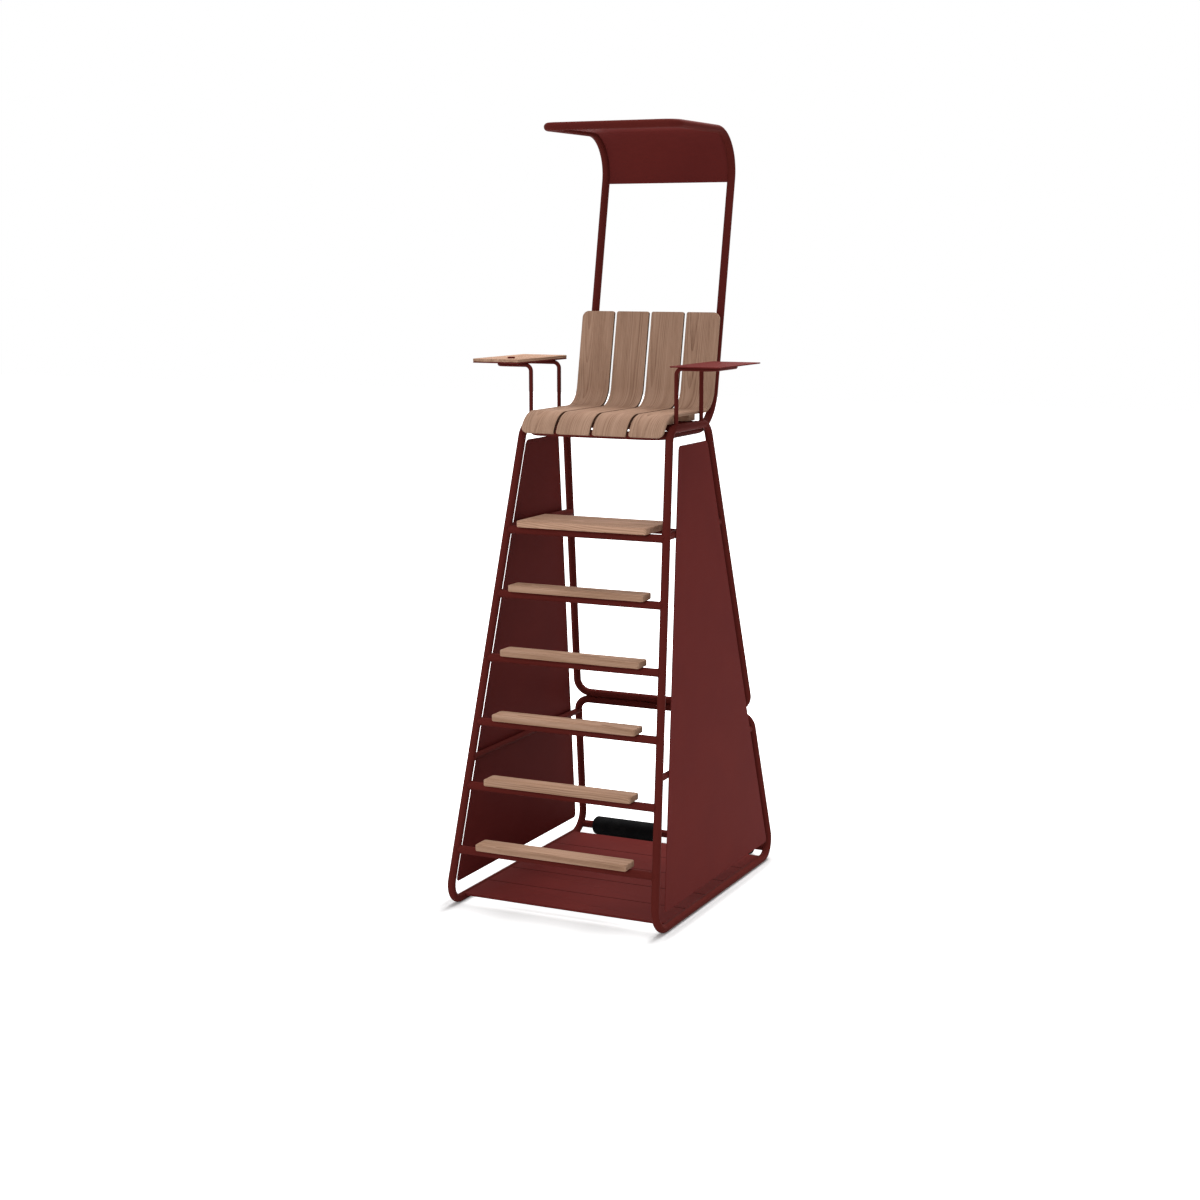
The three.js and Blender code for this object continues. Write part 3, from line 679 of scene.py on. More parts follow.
def eased_board(
    name: str, low: Vector, high: Vector, corners: float | Sequence[float], edge: float
) -> Object:
    """A flat board or plate with round corners in plan and eased edges.

    Args:
        name: The new object's name.
        low: Its lowest corner, in metres.
        high: Its highest corner.
        corners: The plan radius, or one each for left front, right front, right rear and left rear.
        edge: The radius along its upper and lower edges.

    Returns:
        The board, with its place in its mesh.
    """
    middle = (low + high) / 2
    board = fresh(name, bpy.ops.mesh.primitive_cube_add, size=1, location=middle, scale=high - low)
    settle(board)
    start_shaping(board)
    plan = [Vector(spot) for spot in ((low.x, low.y), (high.x, low.y), (high.x, high.y), (low.x, high.y))]
    radii = corners if isinstance(corners, Sequence) else [corners] * len(plan)
    for radius in sorted(set(radii)):
        spots = [spot for spot, own in zip(plan, radii) if own == radius]
        pick(
            Kind.EDGES,
            lambda line: any(all((v.co.xy - spot).length < NEARLY for v in line.verts) for spot in spots),
        )
        ease(radius, segments=8)
    pick(Kind.EDGES, lambda line: abs(line.verts[0].co.z - line.verts[1].co.z) < NEARLY)
    ease(edge, segments=4)
    end_shaping()
    return board


@dataclass(frozen=True)
class BentPath:
    """A bent line in the YZ plane, along which a flat board is laid."""

    corners: tuple[Vector, ...]  # Y and Z of each corner and both ends, in metres
    radii: tuple[float, ...]  # millimetres

    def stretches(self) -> list[tuple[float, Vector, Vector, float]]:
        """The line cut into straight runs and bends.

        Returns:
            For each stretch its length, where it starts, its first direction, and for a bend its
            radius, below zero where it turns to the right, or else zero.
        """
        made = []
        place, along = self.corners[0], (self.corners[1] - self.corners[0]).normalized()
        for bend in bends(self.corners, self.radii):
            sign = math.copysign(1.0, along.x * bend.leave.y - along.y * bend.leave.x)
            made.append(((bend.start - place).length, place, along, 0.0))
            made.append((bend.radius * bend.turn, bend.start, along, sign * bend.radius))
            place, along = bend.end, bend.leave
        made.append(((self.corners[-1] - place).length, place, along, 0.0))
        return made

    @property
    def length(self) -> float:
        """The whole line's length."""
        return sum(stretch[0] for stretch in self.stretches())

    def stations(self) -> list[float]:
        """Finds where along the line a flat board is cut, so that it can follow the bends.

        Returns:
            The distances along the line, in metres.
        """
        marks, done = [], 0.0
        for length, _, _, radius in self.stretches():
            if radius:
                count = math.ceil(length / abs(radius) / BOARD_BEND_STEP)
                marks += [done + length * i / count for i in range(count + 1)]
            done += length
        return marks

    def frame_at(self, distance: float) -> tuple[Vector, Vector]:
        """The point and the upward normal at a distance along the line.

        Args:
            distance: How far along the line, in metres.

        Returns:
            The point and the unit normal to its left, both as Y and Z.
        """
        stretches = self.stretches()
        for i, (length, place, along, radius) in enumerate(stretches):
            if distance <= length or i == len(stretches) - 1:
                break
            distance -= length
        normal = Vector((-along.y, along.x))
        if not radius:
            return place + along * distance, normal
        spoke = Matrix.Rotation(distance / radius, 2) @ normal
        return place + normal * radius - spoke * radius, spoke


def lay_along(piece: Object, path: BentPath) -> None:
    """Lays a flat board along a bent line: its Y runs along the line and its Z stands on it.

    Args:
        piece: A board that starts at zero on Y, with its place in its mesh.
        path: The line that its zero height follows.
    """
    start_shaping(piece)
    for mark in path.stations():
        bpy.ops.mesh.select_all(action="SELECT")
        bpy.ops.mesh.bisect(plane_co=(0.0, mark, 0.0), plane_no=BACKWARDS)
    end_shaping()
    for vertex in piece.data.vertices:
        across, distance, height = vertex.co
        place, normal = path.frame_at(distance)
        vertex.co = (across, place.x + normal.x * height, place.y + normal.y * height)
    start_shaping(piece)
    end_shaping()


class Grain(Enum):
    """Which way the grain runs in a flat board: its axes across, along and through the grain."""

    ALONG_X = (1, 0, 2)
    ALONG_Y = (0, 1, 2)

    def write(self, piece: Object, seed: int) -> None:
        """Writes each point's place in the timber: across, along and through the board.

        Args:
            piece: The flat board, with its place in its mesh.
            seed: The piece's own number, which picks its part of the timber.
        """
        spots = [vertex.co for vertex in piece.data.vertices]
        middle = Vector([(min(c) + max(c)) / 2 for c in zip(*spots)])
        # Two scattered numbers from 0 to 1 put the tree's heart up to 45 mm aside of each board and 45 to
        # 115 mm below it; along the trunk the boards lie 1.7 m apart, sawn up to 1.8 degrees off the grain.
        aside = math.sin(seed * 12.9898) * 43758.5453 % 1.0
        below = math.sin(seed * 78.233) * 12543.123 % 1.0
        heart = Vector((mm(90) * (aside - 0.5), seed * 1.7, mm(45) + mm(70) * below))
        slant = math.sin(math.radians(0.9 + 0.9 * math.sin(seed * 2.4)))
        grain = piece.data.attributes.new(GRAIN_ATTRIBUTE, "FLOAT_VECTOR", "POINT")
        for spot, entry in zip(spots, grain.data):
            across, along, through = ((spot - middle)[axis] for axis in self.value)
            entry.vector = (
                across + heart.x + along * slant * 0.6,
                along + heart.y,
                through - heart.z + along * slant,
            )


def finish_piece(piece: Object, finish: Finish, *nodes: str, body: str = FRAME_BODY) -> None:
    """Dresses a piece, sets it riding on its body and hides the solids that it stands for.

    Args:
        piece: The finished object, with its place in its mesh.
        finish: Its finish.
        nodes: The model's nodes that it replaces.
        body: The body that it rides on.
    """
    piece.data.materials.clear()
    piece.data.materials.append(finish.material())
    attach(piece, body)
    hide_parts(*nodes)
    log.info("%s in %s for %s", piece.name, finish.value.name, ", ".join(nodes))


def finish_flat(piece: Object, finish: Finish, node: str) -> None:
    """Shades a board or sheet so that its broad faces stay flat, and finishes it."""
    smooth(piece, weighted=True)
    finish_piece(piece, finish, node)


def dress_faces(piece: Object, finish: Finish, wanted: Callable[[Vector], bool]) -> None:
    """Gives some faces of a dressed piece a second finish of the same slot.

    Args:
        piece: The dressed piece.
        finish: The second finish.
        wanted: The test of one face's normal.
    """
    piece.data.materials.append(finish.material())
    for face in piece.data.polygons:
        if wanted(face.normal):
            face.material_index = 1


def centre_of(node: str) -> Vector:
    """The middle of a node's box at rest."""
    low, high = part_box(node)
    return (low + high) / 2


def height_of(node: str) -> float:
    """The height of a node's middle, in millimetres."""
    return centre_of(node).z * 1000.0


def across_at(node: str, reach: float) -> list[Vector]:
    """The ends, so far from the chair's middle, of a line across it through a node's middle."""
    middle = centre_of(node)
    return [Vector((side.value * reach, middle.y, middle.z)) for side in Side]


# The chair


@dataclass
class Tower:
    """The side loops and rear hoops of bent tube, with the rungs and rails between them."""

    lower_rail_tube: float = 28.0
    cross_tube: float = 27.0
    foot: float = MAIN_TUBE / 2  # height of the bottom rails' centre
    foot_half_width: float = 483.5  # middle of the chair to a bottom rail's centre
    head_half_width: float = 340.7
    foot_front: float = 665.9  # middle of the deck to a side loop's sharp corner
    foot_rear: float = 660.2
    head_front: float = 211.7
    head_rear: float = 192.8
    head_height: float = 2045.0
    foot_bend: float = 86.0
    head_bend: float = 65.0
    hoop_height: float = 713.9  # floor to where the two rear hoops touch
    hoop_bend: float = 62.0
    stub: float = 12.0  # straight run between a rear bend and the joint in front of it
    rungs: int = 6
    rung_stop: float = 8.0  # how far inside a leg's centre line a rung ends
    bearer_stop: float = 6.0  # and how far inside a rail's the bearer ends

    def leg(self, side: Side, z: float, rear: bool = False) -> Vector:
        """A point on a leg's centre line.

        Args:
            side: The side of the chair.
            z: The height, in millimetres.
            rear: Whether it is the rear leg.

        Returns:
            The point, in metres.
        """
        climbed = (z - self.foot) / (self.head_height - self.foot)
        x = self.foot_half_width + (self.head_half_width - self.foot_half_width) * climbed
        foot, head = (self.foot_rear, self.head_rear) if rear else (-self.foot_front, -self.head_front)
        return point(side.value * x, foot + (head - foot) * climbed, z)

    def leg_line(self, side: Side, z: float, rear: bool = False) -> Carrier:
        """A leg's centre line, given by its point at a height."""
        run = self.leg(side, self.head_height, rear) - self.leg(side, self.foot, rear)
        return Carrier(self.leg(side, z, rear), run)

    def top_rail(self, side: Side) -> Carrier:
        """The centre line of a side loop's top rail."""
        return Carrier(self.leg(side, self.head_height), BACKWARDS)

    def rear_joint(self, side: Side, z: float, bend: float, other: float) -> Vector:
        """Where a side loop's tube is joined, just in front of a rear bend.

        Args:
            side: The side of the chair.
            z: The height of the horizontal run, in millimetres.
            bend: The bend's radius, in millimetres.
            other: A height on the leg's far side of the bend, in millimetres.

        Returns:
            The end of the straight stub in front of the bend.
        """
        corner = self.leg(side, z, rear=True)
        arrive = (corner - self.leg(side, other, rear=True)).normalized()
        reach = mm(bend) * math.tan(arrive.angle(-BACKWARDS) / 2) + mm(self.stub)
        return corner - BACKWARDS * reach

    def make_side_loops(self) -> None:
        """Each side's bottom rail, front leg and top rail, bent from one tube."""
        for side in Side:
            line = [
                self.rear_joint(side, self.foot, self.foot_bend, self.head_height),
                self.leg(side, self.foot),
                self.leg(side, self.head_height),
                self.rear_joint(side, self.head_height, self.head_bend, self.foot),
            ]
            radii = [self.foot_bend, self.head_bend]
            loop = bent_tube(f"side_loop_{side.label}", line, radii, MAIN_TUBE)
            finish_piece(loop, Finish.TUBE, f"bottom_rail_{side.label}", f"front_leg_{side.label}")

    def make_rear_hoops(self) -> None:
        """The two rear hoops, each bent from one tube, that meet in a pair of crossbars."""
        lower_bar, upper_bar = self.hoop_height - MAIN_TUBE / 2, self.hoop_height + MAIN_TUBE / 2
        for name, end, other, bar, bend in (
            ("lower", self.foot, self.head_height, lower_bar, self.foot_bend),
            ("upper", self.head_height, self.foot, upper_bar, self.head_bend),
        ):
            left, right = (
                [
                    self.rear_joint(side, end, bend, other),
                    self.leg(side, end, rear=True),
                    self.leg(side, bar, rear=True),
                ]
                for side in Side
            )
            radii = [bend, self.hoop_bend, self.hoop_bend, bend]
            hoop = bent_tube(f"rear_hoop_{name}", [*left, *reversed(right)], radii, MAIN_TUBE)
            legs = [f"rear_{name}_leg_{side.label}" for side in Side]
            finish_piece(hoop, Finish.TUBE, *legs, f"rear_crossbar_{name}")

    def make_rungs(self) -> None:
        """The rungs between the front legs, welded on at both ends."""
        for i in range(1, self.rungs + 1):
            node = f"rung_{i}"
            legs = [self.leg_line(side, height_of(node)) for side in Side]
            ends = across_at(node, abs(legs[0].place.x) - mm(self.rung_stop))
            finish_piece(welded_tube(f"rung_tube_{i}", ends, MAIN_TUBE, legs), Finish.TUBE, node)

    def make_panel_rails(self) -> None:
        """The rails between front and rear legs that carry the side panels."""
        inset = point(0, MAIN_TUBE / 4, 0)
        for name, diameter in (("lower", self.lower_rail_tube), ("upper", MAIN_TUBE)):
            for side in Side:
                node = f"panel_rail_{name}_{side.label}"
                middle = centre_of(node)
                legs = [self.leg_line(side, height_of(node), rear) for rear in (False, True)]
                front, rear = (Vector((middle.x, leg.place.y, middle.z)) for leg in legs)
                ends = [front + inset, rear - inset]
                rail = welded_tube(f"panel_rail_tube_{name}_{side.label}", ends, diameter, legs)
                finish_piece(rail, Finish.TUBE, node)

    def make_footrest_bearer(self) -> None:
        """The thinner tube under the footrest's rear edge."""
        rails = [Carrier(centre_of(f"panel_rail_upper_{side.label}"), BACKWARDS) for side in Side]
        ends = across_at("footrest_bearer", rails[1].place.x - mm(self.bearer_stop))
        bearer = welded_tube("footrest_bearer_tube", ends, self.cross_tube, rails)
        finish_piece(bearer, Finish.TUBE, "footrest_bearer")

    def build(self) -> None:
        """Makes all the tower's tubes."""
        self.make_side_loops()
        self.make_rear_hoops()
        self.make_rungs()
        self.make_panel_rails()
        self.make_footrest_bearer()


@dataclass
class Steps:
    """The wooden steps on the rungs and the footrest on the top one."""

    steps: int = 5
    corner: float = 13.0
    edge: float = 5.0

    def build(self) -> None:
        """Makes each board in its node's box, with the grain along it."""
        names = [f"step_board_{i}" for i in range(1, self.steps + 1)] + ["footrest_board"]
        for place, node in enumerate(names, start=1):
            board = eased_board(f"wooden_{node}", *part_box(node), self.corner, self.edge)
            Grain.ALONG_X.write(board, seed=place)
            finish_flat(board, self.shade(place), node)

    def shade(self, place: int) -> Finish:
        """The board's painted light and shade: the lower steps, which the lamps light more, are painted
        darker, and the footrest, in the seat's shadow, is painted paler.

        Args:
            place: The board's number from below.

        Returns:
            Its finish.
        """
        if place < self.steps:
            return Finish.BOARD_PAINTED_DARKER
        return Finish.BOARD if place == self.steps else Finish.BOARD_PAINTED_PALER


@dataclass
class SidePanels:
    """The flat sheets outside the side loops."""

    tower: Tower
    sheet: float = 3.0
    outset: float = 12.8  # side loop's plane to the middle of the sheet
    front_inset: float = 70.5
    rear_inset: float = 57.9
    foot_inset: float = 72.0
    head_inset: float = 71.0
    corner: float = 20.0
    edge: float = 0.8

    def build(self) -> None:
        """Makes both sheets: a plane drawn to its corners, rounded, thickened and eased."""
        tower = self.tower
        heights = (tower.foot + self.foot_inset, tower.head_height - self.head_inset)
        insets = ((False, self.front_inset), (True, -self.rear_inset))
        lean = (tower.foot_half_width - tower.head_half_width) / (tower.head_height - tower.foot)
        for side in Side:
            outward = Vector((side.value, 0.0, lean)).normalized()
            inner_face = outward * mm(self.outset - self.sheet / 2)
            panel = fresh(f"side_sheet_{side.label}", bpy.ops.mesh.primitive_plane_add, size=1)
            places = [tower.leg(side, z, rear) + point(0, y, 0) for z in heights for rear, y in insets]
            for vertex, place in zip(panel.data.vertices, places):
                vertex.co = place + inner_face
            start_shaping(panel)
            ease(self.corner, segments=8, affect="VERTICES")
            bpy.ops.mesh.select_all(action="SELECT")
            draw_out(outward * mm(self.sheet))
            face_outwards()
            pick(
                Kind.EDGES,
                lambda line: abs((line.verts[0].co - line.verts[1].co).dot(outward)) < 10 * NEARLY,
            )
            ease(self.edge, segments=3)
            end_shaping()
            finish_flat(panel, Finish.SHEET, f"side_panel_{side.label}")


@dataclass
class Deck:
    """The folded sheet planks at the foot, and the flat bars that carry their ends."""

    planks: int = 5
    half_length: float = 476.5  # to the bottom rails' sides, into which the ends are welded
    corner: float = 1.0
    fold: float = 1.6  # radius of a plank's folded edges
    ledge_corner: float = 2.0
    ledge_edge: float = 1.0
    ledge_setback: float = 30.0  # the bars end out of sight under the planks
    seam_slope: float = 0.3  # a face whose normal leans this far forwards or back is in a seam and gets painted shade

    def build(self) -> None:
        """Makes the planks and the bars."""
        for i in range(1, self.planks + 1):
            node = f"deck_plank_{i}"
            low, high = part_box(node)
            low.x, high.x = -mm(self.half_length), mm(self.half_length)
            plank = eased_board(f"sheet_{node}", low, high, self.corner, self.fold)
            finish_flat(plank, Finish.SHEET, node)
            # The first plank's front fold is in the open, not in a seam.
            front = -self.seam_slope if i > 1 else -math.inf
            # The seam faces take the darker coat: painted shade in the folds between planks.
            dress_faces(plank, Finish.SEAM, lambda normal: normal.y > self.seam_slope or normal.y < front)
        for side in Side:
            node = f"deck_ledge_{side.label}"
            low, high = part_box(node)
            setback = BACKWARDS * mm(self.ledge_setback)
            ends = (low + setback, high - setback)
            bar = eased_board(f"flat_bar_{side.label}", *ends, self.ledge_corner, self.ledge_edge)
            finish_flat(bar, Finish.TUBE, node)


@dataclass
class Seat:
    """The bent slats, the battens under and behind them, and the tubes that carry them."""

    tower: Tower
    slats: int = 4
    half_span: float = 331.6
    gap: float = 12.0
    thickness: float = 12.0
    nose_bend: float = 124.0
    nose_start: float = 146.0
    nose_turn: float = 72.8  # degrees that the nose bends down
    nose_straight: float = 0.2  # mm straight on under the bend
    back_bend: float = 100.0
    corner_place: float = 269.5  # where seat and back would meet without their bend
    top: float = 2515.8
    seat_top: float = 2102.6
    outer_corner: float = 30.0
    inner_corner: float = 9.0
    edge: float = 1.2
    gap_slope: float = 0.8  # a face whose normal leans this far sideways is in a gap and gets painted shade
    batten_edge: float = 2.5
    batten_corner: float = 6.0
    batten_play: float = 0.3  # between the planed batten and the slats
    planed_at: tuple[float, ...] = (3, 8, 13, 18, 23)  # degrees round the nose
    block_corner: float = 3.0
    bearer_tube: float = 27.0
    bearer_stop: float = 7.0  # how far inside a top rail's centre line a tube ends
    bead: float = 4.0

    def slat_path(self) -> BentPath:
        """Draws the slats' upper and front face, from under the nose to the top of the back.

        Returns:
            The line.
        """
        turn = math.radians(self.nose_turn)
        reach = self.nose_bend * math.tan(turn / 2)
        fall = reach + self.nose_straight
        nose = -self.nose_start - reach
        lean = (self.top - self.seat_top) * math.tan(math.radians(BACK_RAKE))
        corners = (
            (nose - fall * math.cos(turn), self.seat_top - fall * math.sin(turn)),
            (nose, self.seat_top),
            (self.corner_place, self.seat_top),
            (self.corner_place + lean, self.top),
        )
        line = tuple(Vector((mm(y), mm(z))) for y, z in corners)
        return BentPath(line, (self.nose_bend, self.back_bend))

    def make_slats(self) -> None:
        """Each slat: a flat board with round corners, then laid along the bends."""
        path = self.slat_path()
        width = (2 * self.half_span - (self.slats - 1) * self.gap) / self.slats
        for i in range(self.slats):
            start = -self.half_span + i * (width + self.gap)
            low = point(start, 0, -self.thickness)
            high = Vector((mm(start + width), path.length, 0))
            first, last = i == 0, i == self.slats - 1
            left, right = (self.outer_corner if outer else self.inner_corner for outer in (first, last))
            slat = eased_board(f"bent_slat_{i + 1}", low, high, [left, right, right, left], self.edge)
            Grain.ALONG_Y.write(slat, seed=11 + i)
            lay_along(slat, path)
            finish_flat(slat, Finish.SLAT, f"seat_slat_{i + 1}")
            most = math.inf if last else self.gap_slope
            least = -math.inf if first else -self.gap_slope
            # The side faces in the gaps take the darker wood: painted shade between the slats.
            dress_faces(slat, Finish.SLAT_GAP_SHADE, lambda normal: normal.x > most or normal.x < least)

    def make_battens(self) -> None:
        """The battens under the seat; the front one is planed to the slats' nose."""
        for seed, name in enumerate(("front", "rear"), start=21):
            node = f"seat_batten_{name}"
            batten = eased_board(f"wooden_{node}", *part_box(node), self.batten_corner, self.batten_edge)
            if name == "front":
                self.plane_to_nose(batten)
            Grain.ALONG_X.write(batten, seed)
            finish_flat(batten, Finish.BOARD, node)

    def plane_to_nose(self, batten: Object) -> None:
        """Cuts a batten's upper front edge back to the curve under the slats' nose.

        Args:
            batten: The batten, with its place in its mesh.
        """
        centre = point(0, -self.nose_start, self.seat_top - self.nose_bend)
        radius = mm(self.nose_bend - self.thickness - self.batten_play)
        start_shaping(batten)
        for degrees in self.planed_at:
            turn = math.radians(degrees)
            normal = Vector((0.0, -math.sin(turn), math.cos(turn)))
            bpy.ops.mesh.select_all(action="SELECT")
            cut = {"plane_co": centre + normal * radius, "plane_no": normal}
            bpy.ops.mesh.bisect(**cut, use_fill=True, clear_outer=True)
        end_shaping()

    def make_back_blocks(self) -> None:
        """The blocks that stand each outer slat off its post, leaned with the back."""
        rake = math.radians(BACK_RAKE)
        for seed, side in enumerate(Side, start=31):
            node = f"back_block_{side.label}"
            wide, deep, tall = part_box(node)[1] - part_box(node)[0]
            # The box is that of the leaning block; its own depth and height follow from the lean.
            spread = math.cos(rake) ** 2 - math.sin(rake) ** 2
            own_depth = (deep * math.cos(rake) - tall * math.sin(rake)) / spread
            own_height = (tall * math.cos(rake) - deep * math.sin(rake)) / spread
            half = Vector((wide, own_depth, own_height)) / 2
            block = eased_board(f"wooden_{node}", -half, half, self.block_corner, self.batten_edge)
            Grain.ALONG_X.write(block, seed)
            block.rotation_euler.x = -rake
            block.location = centre_of(node)
            settle(block)
            finish_flat(block, Finish.BOARD, node)

    def make_seat_tubes(self) -> None:
        """The tubes across the top rails, under the battens."""
        rails = [self.tower.top_rail(side) for side in Side]
        for node in ("seat_tube_front", "seat_tube_rear"):
            ends = across_at(node, mm(self.tower.head_half_width - self.bearer_stop))
            tube = welded_tube(f"bearer_{node}", ends, self.bearer_tube, rails, self.bead)
            finish_piece(tube, Finish.TUBE, node)

    def build(self) -> None:
        """Makes the seat and all that carries it."""
        self.make_seat_tubes()
        self.make_battens()
        self.make_back_blocks()
        self.make_slats()


@dataclass
class Canopy:
    """The long closed loop of tube round seat, back and canopy, with the canopy's sheet."""

    half_width: float = 304.6
    rear_corner: float = 326.8  # where seat and posts would meet without their bend
    seat_bend: float = 190.0
    canopy_bend: float = 175.0
    seat_front_bend: float = 60.0
    canopy_front_bend: float = 55.0
    sheet: float = 3.0
    drop: float = 12.0  # straight run of the sheet below its bend
    drop_corner: float = 2.0
    tuck: float = 1.5  # how far the sheet's edges are welded into the tube's side
    edge: float = 0.8

    def posts_top(self) -> Vector:
        """Finds where the middle lines of the leaning posts reach the canopy's height.

        Returns:
            The place, on the chair's middle plane.
        """
        top = centre_of("canopy_front_bar").z
        lean = (top - centre_of("seat_front_bar").z) * math.tan(math.radians(BACK_RAKE))
        return Vector((0, mm(self.rear_corner) + lean, top))

    def make_loop(self) -> None:
        """The loop, bent from one tube and joined under the seat."""
        seat, top = centre_of("seat_front_bar"), centre_of("canopy_front_bar")
        post = self.posts_top()
        turns = ((seat.y, seat.z), (mm(self.rear_corner), seat.z), (post.y, post.z), (top.y, top.z))
        left, right = ([Vector((s.value * mm(self.half_width), y, z)) for y, z in turns] for s in Side)
        start = Vector((0, seat.y, seat.z))
        radii = [self.seat_front_bend, self.seat_bend, self.canopy_bend, self.canopy_front_bend]
        line = [start, *right, *reversed(left), start]
        loop = bent_tube("canopy_loop", line, [*radii, *reversed(radii)], MAIN_TUBE, closed=True)
        nodes = ("canopy_frame_left", "canopy_frame_right", "seat_front_bar", "canopy_front_bar")
        finish_piece(loop, Finish.TUBE, *nodes)

    def make_sheet(self) -> None:
        """The sheet inside the loop: flat with round front corners, then bent to the posts."""
        lean = math.radians(BACK_RAKE)
        post = self.posts_top()
        fall = mm(self.canopy_bend) * math.tan((math.pi / 2 + lean) / 2) + mm(self.drop)
        front = centre_of("canopy_front_bar").y + mm(MAIN_TUBE / 2 - self.tuck)
        corners = (
            Vector((post.y - fall * math.sin(lean), post.z - fall * math.cos(lean))),
            Vector((post.y, post.z)),
            Vector((front, post.z)),
        )
        path = BentPath(corners, (self.canopy_bend,))
        high = Vector((mm(self.half_width - MAIN_TUBE / 2 + self.tuck), path.length, mm(self.sheet) / 2))
        low = Vector((-high.x, 0, -high.z))
        front_corner = self.canopy_front_bend - MAIN_TUBE / 2 + self.tuck
        radii = [self.drop_corner, self.drop_corner, front_corner, front_corner]
        sheet = eased_board("canopy_skin", low, high, radii, self.edge)
        lay_along(sheet, path)
        finish_flat(sheet, Finish.SHEET, "canopy_sheet")

    def build(self) -> None:
        """Makes the loop and its sheet."""
        self.make_loop()
        self.make_sheet()


@dataclass
class Trays:
    """The bent rods at the arms, with their tray plates and the left tray's wooden top."""

    tower: Tower
    rod: float = 18.0
    half_span: float = 341.1
    outer_run: float = 512.0
    front_post: float = 144.1
    rear_post: float = 124.6
    height: float = 2295.5
    post_bend: float = 27.0
    corner_bend: float = 45.0
    bead: float = 4.0
    corner: float = 9.0
    plate_edge: float = 1.2
    board_edge: float = 2.6
    hole: float = 33.0
    hole_inset: float = 81.5
    hole_setback: float = 91.0
    socket: float = 16.0  # outer radius
    socket_wall: float = 3.0
    socket_stand: float = 6.5  # above the wood
    socket_floor: float = 1.0
    socket_edge: float = 0.8
    round_sides: int = 48

    def make_rods(self) -> None:
        """Each rod: up from the top rail, out under the tray and down again."""
        foot = self.tower.head_height + MAIN_TUBE / 4
        bends_of_half = [self.post_bend, self.corner_bend]
        for side in Side:
            near, far = side.value * self.half_span, side.value * self.outer_run
            front, rear = (
                [point(near, y, foot), point(near, y, self.height), point(far, y, self.height)]
                for y in (-self.front_post, self.rear_post)
            )
            line, radii = [*front, *reversed(rear)], [*bends_of_half, *reversed(bends_of_half)]
            parts = [bent_tube(f"tray_rod_{side.label}", line, radii, self.rod)]
            for post in (front, rear):
                down = post[0] - post[1]
                parts.append(weld_bead(post[1], down, self.rod, self.tower.top_rail(side), self.bead))
            finish_piece(join(parts), Finish.TUBE, f"arm_rod_{side.label}")

    def make_plates(self) -> None:
        """The two steel plates."""
        for side in Side:
            node = f"tray_plate_{side.label}"
            plate = eased_board(f"steel_{node}", *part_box(node), self.corner, self.plate_edge)
            if side is Side.LEFT:
                plate = join([plate, self.make_socket(plate_top=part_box(node)[1].z)])
            finish_flat(plate, Finish.SHEET, node)

    def hole_place(self) -> Vector:
        """The middle of the bore, at the wood's upper face."""
        low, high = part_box("tray_board_left")
        return Vector((high.x - mm(self.hole_inset), low.y + mm(self.hole_setback), high.z))

    def make_socket(self, plate_top: float) -> Object:
        """The short steel socket that stands on the plate, in the wood's bore.

        Args:
            plate_top: The height of the plate's upper face.

        Returns:
            The socket, with its place in its mesh.
        """
        place = self.hole_place()
        height = place.z + mm(self.socket_stand) - plate_top
        socket = fresh(
            "tray_socket",
            bpy.ops.mesh.primitive_cylinder_add,
            vertices=self.round_sides,
            radius=mm(self.socket),
            depth=height,
            location=(place.x, place.y, plate_top + height / 2),
        )
        settle(socket)
        start_shaping(socket)
        pick(Kind.FACES, lambda face: face.normal.z > FACING)
        bpy.ops.mesh.inset(thickness=mm(self.socket_wall))
        draw_out(Vector((0, 0, mm(self.socket_floor) - height)))

        def is_mouth(edge: bmesh.types.BMEdge) -> bool:
            """Tells whether an edge runs round the socket's mouth.

            Args:
                edge: The edge.

            Returns:
                True where it does.
            """
            ends = [v.co for v in edge.verts]
            radii = [(end.xy - place.xy).length for end in ends]
            at_rim = min(end.z for end in ends) > plate_top + height - NEARLY
            return at_rim and abs(radii[0] - radii[1]) < 10 * NEARLY

        pick(Kind.EDGES, is_mouth)
        ease(self.socket_edge, segments=3)
        end_shaping()
        return socket

    def make_board(self) -> None:
        """The left tray's wooden top, bored through at its front."""
        low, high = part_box("tray_board_left")
        place = self.hole_place()
        board = eased_board("wooden_tray_top", low, high, self.corner, self.board_edge)
        drill = fresh(
            "drill",
            bpy.ops.mesh.primitive_cylinder_add,
            vertices=self.round_sides,
            radius=mm(self.hole / 2),
            depth=2 * (high.z - low.z),
            location=(place.x, place.y, (low.z + high.z) / 2),
        )
        bore = board.modifiers.new("bore", "BOOLEAN")
        bore.object = drill
        bore.operation = "DIFFERENCE"
        choose(board)
        bpy.ops.object.modifier_apply(modifier="bore")
        bpy.data.objects.remove(drill)
        Grain.ALONG_Y.write(board, seed=41)
        finish_flat(board, Finish.BOARD, "tray_board_left")

    def build(self) -> None:
        """Makes rods, plates and the wooden top."""
        self.make_rods()
        self.make_plates()
        self.make_board()


